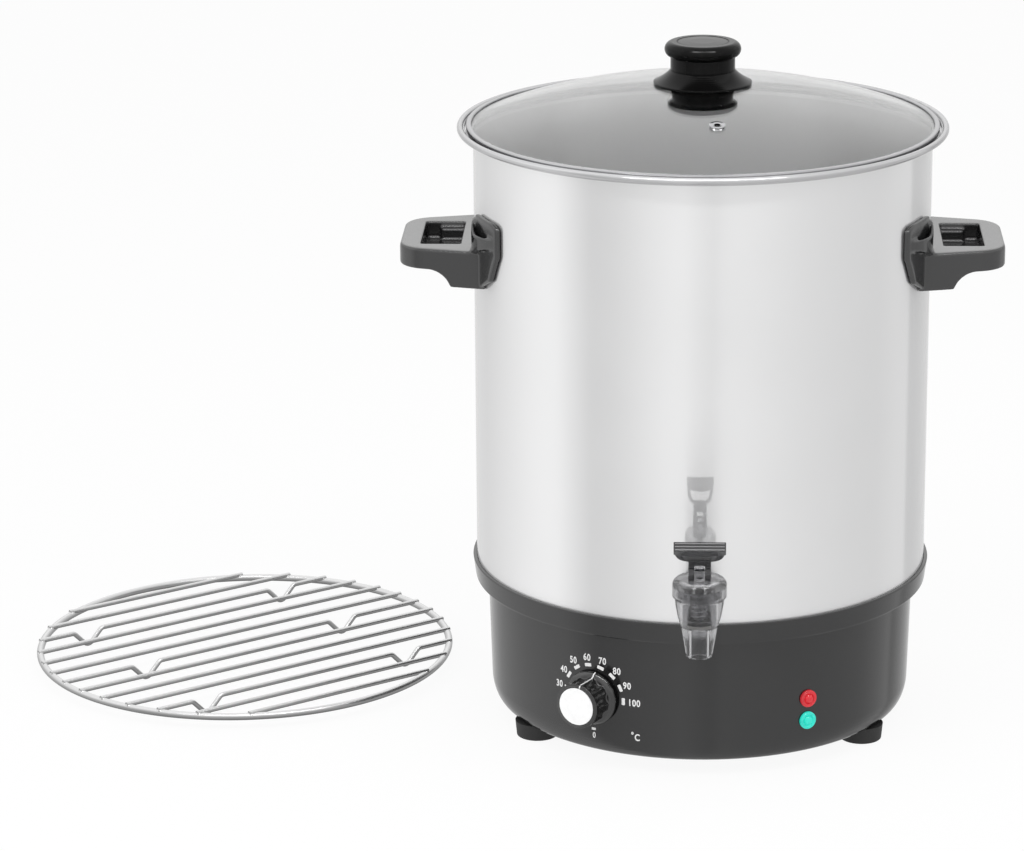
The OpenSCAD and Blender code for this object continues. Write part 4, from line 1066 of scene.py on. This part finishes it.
@dataclass
class Tap(Assembly):
    """Lever tap with its rounded mouldings and its spring."""

    axis_y: float = -236.0 * MM
    body_moulding: Moulding = Moulding(0.55 * MM, 6, 70.0)
    lever_moulding: Moulding = Moulding(0.36 * MM, 6, 70.0)
    wire_sides: int = 12
    spring_radius: float = 5.7 * MM
    spring_wire: float = 0.6 * MM
    spring_low: float = 158.2 * MM
    spring_top: float = 181.9 * MM
    spring_turns: int = 6
    turn_steps: int = 28
    valve_lift: float = 4.5 * MM
    pin_height: float = 196.0 * MM
    lever_lean: float = 45.0
    bar_reach: float = 37.5 * MM
    bar_length: float = 37.0 * MM
    rib_pitch: float = 2.5 * MM
    rib_radius: float = 0.45 * MM

    def build(self) -> None:
        """Rounds the mouldings, adds the lever's ribs and winds the spring."""
        self.body_moulding.mould("tap_body", Body.KETTLE, "smoke_plastic", SMOKE)
        self.lever_moulding.mould("tap_lever", Body.LEVER, "smoke_plastic", SMOKE_DARK)
        self.add_ribs()
        self.wind_spring()

    def add_ribs(self) -> None:
        """Lays ribs along the face of the lever's bar."""
        a = math.radians(self.lever_lean)
        paths = []
        for k in (-1, 0, 1):
            aside = k * self.rib_pitch
            y = self.axis_y - self.bar_reach * math.sin(a) + aside * math.cos(a)
            z = self.pin_height + self.bar_reach * math.cos(a) + aside * math.sin(a)
            paths.append([(end * self.bar_length / 2, y, z) for end in (-1, 1)])
        made = self.tools.wire.sweep(
            "tap_lever_ribs", paths, self.rib_radius, 0.0, SMOKE_RIB, self.wire_sides)
        settle(made, Body.LEVER)

    def wind_spring(self) -> None:
        """Winds the spring and sets it to ride on the plunger."""
        height = self.spring_top - self.spring_low
        steps = self.turn_steps * self.spring_turns
        path = []
        for k in range(steps + 1):
            a = 2 * math.pi * self.spring_turns * k / steps
            x, y, _ = polar(self.spring_radius, a, 0.0)
            rise = (height - 2 * self.spring_wire) * k / steps
            path.append((x, self.axis_y + y, self.spring_low + self.spring_wire + rise))
        made = self.tools.wire.sweep(
            "tap_spring_coil", [path], self.spring_wire, 0.0, SPRING, self.wire_sides)
        settle(made, Body.PLUNGER, None, ["tap_spring"])
        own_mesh(made)


@dataclass
class Heater(Assembly):
    """Sensing bulb under the heater plate, with its capillary, whose route is in mm."""

    bulb_radius: float = 3.2 * MM
    bulb_half: float = 25.0 * MM
    bulb_place: Point = (-34.0 * MM, 0.0, 114.8 * MM)
    capillary: float = 1.0 * MM
    capillary_bend: float = 6.0 * MM
    capillary_sides: int = 12
    capillary_route: tuple[Point, ...] = (
        (-34.0, -24.0, 114.8), (-35.0, -30.0, 113.8), (-37.0, -36.0, 108.8), (-40.0, -44.0, 90.8),
        (-50.06, -88.47, 76.0), (-63.96, -113.05, 65.0), (-69.02, -121.98, 64.0))

    def build(self) -> None:
        """Sweeps the bulb and the capillary."""
        x, y, z = self.bulb_place
        ends = [(x, y - self.bulb_half, z), (x, y + self.bulb_half, z)]
        route = [tuple(c * MM for c in point) for point in self.capillary_route]
        sweep = self.tools.wire.sweep
        bulb = sweep("sensor_bulb", [ends], self.bulb_radius, 0.0, COPPER)
        line = sweep("sensor_capillary", [route], self.capillary, self.capillary_bend, COPPER,
                     self.capillary_sides)
        for made in (bulb, line):
            settle(made, Body.KETTLE, None, ["thermostat_sensor"])


@dataclass
class Rack(Assembly):
    """Round wire rack with welded bars, three of them bent into feet."""

    middle: Pair = (-382.87 * MM, 101.16 * MM)
    bearing: float = 37.0
    ring_radius: float = 172.0 * MM
    ring_wire: float = 2.95 * MM
    ring_height: float = 10.9 * MM
    ring_steps: int = 180
    bar_wire: float = 2.0 * MM
    bar_height: float = 13.7 * MM
    bar_pitch: float = 25.0 * MM
    bars: int = 13
    bend_every: int = 4
    bend_first: int = 2
    bend_place: float = 96.0 * MM
    bend_half: float = 15.5 * MM
    bend_depth: float = 11.7 * MM
    bend_radius: float = 5.0 * MM
    weld_profile: tuple[Pair, ...] = (
        (0.0, -0.9 * MM), (2.0 * MM, -0.6 * MM), (2.8 * MM, 0.0), (2.2 * MM, 0.7 * MM),
        (0.0, 1.0 * MM))
    weld_sides: int = 10
    weld_sink: float = 0.5 * MM
    weld_turn: float = 0.7

    def at(self, along: float, aside: float, height: float) -> Point:
        """Finds a point from its distances along and across the bars and its height."""
        a = math.radians(self.bearing)
        return (self.middle[0] + along * math.cos(a) - aside * math.sin(a),
                self.middle[1] + along * math.sin(a) + aside * math.cos(a), height)

    def span(self, index: int) -> Pair:
        """Gives how far aside a bar lies, and half its length inside the ring."""
        aside = (index - (self.bars - 1) / 2) * self.bar_pitch
        return aside, math.sqrt(self.ring_radius ** 2 - aside ** 2)

    def is_bent(self, index: int) -> bool:
        """Says whether a bar is bent into feet."""
        return index % self.bend_every == self.bend_first

    def bar_path(self, index: int) -> list[Point]:
        """Gives the corners of one bar.

        Args:
            index: number of the bar.

        Returns:
            Its points from end to end.
        """
        aside, half = self.span(index)
        half += self.bar_wire
        line = [(-half, self.bar_height)]
        if self.is_bent(index):
            drop = self.bend_depth - 2 * self.bend_radius
            slope = math.atan2(drop, self.bend_half) + math.asin(
                2 * self.bend_radius / math.hypot(self.bend_half, drop))
            shoulder = self.bend_half - self.bend_radius * math.tan(slope / 2)
            toe = self.bar_wire + self.bend_radius - self.bend_radius / math.cos(slope)
            for place in (-self.bend_place, self.bend_place):
                line += [(place - shoulder, self.bar_height), (place, toe),
                         (place + shoulder, self.bar_height)]
        line.append((half, self.bar_height))
        return [self.at(along, aside, height) for along, height in line]

    def build(self) -> None:
        """Sweeps the ring and the bars and adds the welds."""
        ring = [(self.middle[0] + x, self.middle[1] + y, z) for x, y, z in (
            polar(self.ring_radius, a, self.ring_height) for a in turns(self.ring_steps))]
        straight, bent = ([self.bar_path(k) for k in range(self.bars) if self.is_bent(k) == wanted]
                          for wanted in (False, True))
        sweep = self.tools.wire.sweep
        self.place(sweep("rack_ring_wire", [ring], self.ring_wire, 0.0, WIRE, closed=True),
                   "rack_ring")
        self.place(sweep("rack_bar_wires", straight, self.bar_wire, 0.0, WIRE), "rack_bars")
        self.place(sweep("rack_foot_wires", bent, self.bar_wire, self.bend_radius, WIRE),
                   "rack_foot_bars")
        self.weld()

    def place(self, piece: Piece, *nodes: str) -> None:
        """Settles a piece of the rack and keeps it out of the kettle's gloss."""
        settle(piece, Body.RACK, None, nodes).visible_glossy = False

    def weld(self) -> None:
        """Adds a small bead of weld where each bar crosses the ring."""
        grid = bmesh.new()
        lathe(grid, self.weld_profile, self.weld_sides)
        height = self.ring_height + self.ring_wire - self.weld_sink
        places = []
        for k in range(self.bars):
            aside, half = self.span(k)
            places += [(self.at(end * half, aside, height), UP, self.weld_turn * k)
                       for end in (-1, 1)]
        shape = mesh_object("weld_shape", grid)
        self.place(self.tools.repeat.repeat("rack_welds", shape, places, WIRE))


@dataclass(frozen=True)
class SoftBox:
    """An area lamp."""

    lamp: Lamp
    place: Point
    width: float
    depth: float
    power: float

    def hang(self, target: Point) -> None:
        """Hangs the lamp so that it looks at a target.

        Args:
            target: the point it looks at.
        """
        data = bpy.data.lights.new(f"soft_box_{self.lamp.value}", "AREA")
        data.shape = "RECTANGLE"
        data.size = self.width
        data.size_y = self.depth
        data.energy = self.power
        made = add_object(data.name, data)
        made.visible_glossy = self.lamp is Lamp.TOP
        made.location = self.place
        aim = Vector(target) - Vector(self.place)
        made.rotation_euler = aim.to_track_quat("-Z", "Y").to_euler()


@dataclass
class Studio:
    """White floor, soft light and the camera."""

    camera_place: Point = (0.0, -3.1695, 1.1994)
    forward: Point = (-0.0456, 0.9558, -0.2906)
    right: Point = (0.9989, 0.0454, -0.0074)
    lens: float = 145.24
    sensor: float = 36.0
    farthest: float = 100.0
    floor_size: float = 14.0
    floor_glow: float = 0.92
    floor_colour: Colour = grey(0.9)
    ambient: float = 0.70
    overhead: float = 1.45
    overhead_range: Pair = (0.1, 0.4)
    bands: tuple[Pair, ...] = (
        (-180, 0.85), (-140, 0.73), (-92, 0.96), (-78, 0.99), (-57, 0.65), (-9, 0.89), (6, 0.72),
        (13, 0.83), (60, 0.76), (100, 0.70), (127, 0.83), (131, 0.55), (150, 0.68), (180, 0.85))
    target: Point = (-0.1, 0.0, 0.25)
    boxes: tuple[SoftBox, ...] = (
        SoftBox(Lamp.LEFT, (-2.2, -1.6, 1.5), 1.6, 1.6, 22.0),
        SoftBox(Lamp.RIGHT, (2.3, -1.2, 1.3), 1.4, 1.4, 13.0),
        SoftBox(Lamp.TOP, (0.0, -1.25, 2.2), 2.4, 0.22, 18.0))

    def build(self) -> None:
        """Builds the camera, the floor, the sky and the lamps."""
        self.add_camera()
        self.add_floor()
        self.add_sky()
        for box in self.boxes:
            box.hang(self.target)

    def add_camera(self) -> None:
        """Sets the camera at the photograph's viewing angle."""
        data = bpy.data.cameras.new("camera")
        data.lens = self.lens
        data.sensor_width = self.sensor
        data.clip_end = self.farthest
        made = add_object("camera", data)
        ahead = Vector(self.forward).normalized()
        side = Vector(self.right).normalized()
        up = side.cross(ahead).normalized()
        turned = Matrix((side, up, -ahead)).transposed().to_4x4()
        made.matrix_world = Matrix.Translation(self.camera_place) @ turned
        bpy.context.scene.camera = made

    def add_floor(self) -> None:
        """Lays a pale floor that shows white and keeps a faint shadow."""
        grid = bmesh.new()
        bmesh.ops.create_grid(grid, x_segments=1, y_segments=1, size=self.floor_size / 2)
        made = mesh_object("floor", grid)
        paper = bpy.data.materials.new("floor_paper")
        graph = blank_graph(paper)
        ray = graph.add("ShaderNodeLightPath").outputs
        seen = graph.calculate("MAXIMUM", ray["Is Camera Ray"], ray["Is Glossy Ray"])
        seen = graph.calculate("MAXIMUM", seen, ray["Is Transmission Ray"])
        share = graph.calculate("MULTIPLY", seen, self.floor_glow)
        matt = graph.add("ShaderNodeBsdfDiffuse", {"Color": (*self.floor_colour, 1.0)})
        white = graph.add("ShaderNodeEmission", {"Color": WHITE, "Strength": 1.0})
        mixed = graph.add("ShaderNodeMixShader", {
            0: share, 1: matt.outputs[0], 2: white.outputs[0]})
        graph.add("ShaderNodeOutputMaterial", {"Surface": mixed.outputs[0]})
        made.data.materials.append(paper)
        made.visible_glossy = False

    def add_sky(self) -> None:
        """Makes the background white and lights the object evenly from all round."""
        world = bpy.data.worlds.new("studio")
        bpy.context.scene.world = world
        graph = blank_graph(world)
        ray = graph.add("ShaderNodeLightPath").outputs
        x, y, z = graph.split(graph.add("ShaderNodeTexCoord").outputs["Generated"])
        bearing = graph.calculate("ARCTAN2", x, graph.calculate("MULTIPLY", y, -1.0))
        share = graph.spread(bearing, 0.0, 1.0, -math.pi, math.pi)
        walls = graph.add("ShaderNodeValToRGB", {0: share})
        self.set_bands(walls.color_ramp)
        height = graph.spread(z, 1.0, self.overhead, *self.overhead_range)
        shown = graph.calculate("MULTIPLY", walls.outputs[0], height)
        level = graph.choose(ray["Is Glossy Ray"], self.ambient, shown)
        level = graph.choose(ray["Is Transmission Ray"], level, 1.0)
        level = graph.choose(ray["Is Camera Ray"], level, 1.0)
        light = graph.add("ShaderNodeBackground", {"Color": WHITE, "Strength": level})
        graph.add("ShaderNodeOutputWorld", {"Surface": light.outputs[0]})

    def set_bands(self, ramp: bpy.types.ColorRamp) -> None:
        """Sets how bright the studio's walls look in the steel, by bearing from the front.

        Args:
            ramp: ramp from the back on the left, through the front, to the back on the right.
        """
        while len(ramp.elements) < len(self.bands):
            ramp.elements.new(0.5)
        for element, (bearing, level) in zip(ramp.elements, self.bands):
            element.position = (bearing + 180) / 360
            element.color = (*grey(level), 1.0)


def dress_solids() -> None:
    """Gives every solid the finish of its slot."""
    for part in frame["record"]["subparts"]:
        paint(frame["nodes"][part["node"]], SLOT_FINISH[part["material_slot"]])
        LOG.info("%s is dressed in %s", part["node"], part["material_slot"])


def main() -> None:
    """Builds the studio and the sub-assemblies in order."""
    logging.basicConfig(level=logging.INFO, format="%(name)s: %(message)s")
    bpy.context.scene.view_settings.view_transform = "Standard"
    Studio().build()
    dress_solids()
    tools = Tools()
    base = Base(tools)
    for assembly in (Vessel(tools), base, Dial(tools, base), Tap(tools), Heater(tools),
                     Rack(tools)):
        assembly.build()


if __name__ == "__main__":
    main()
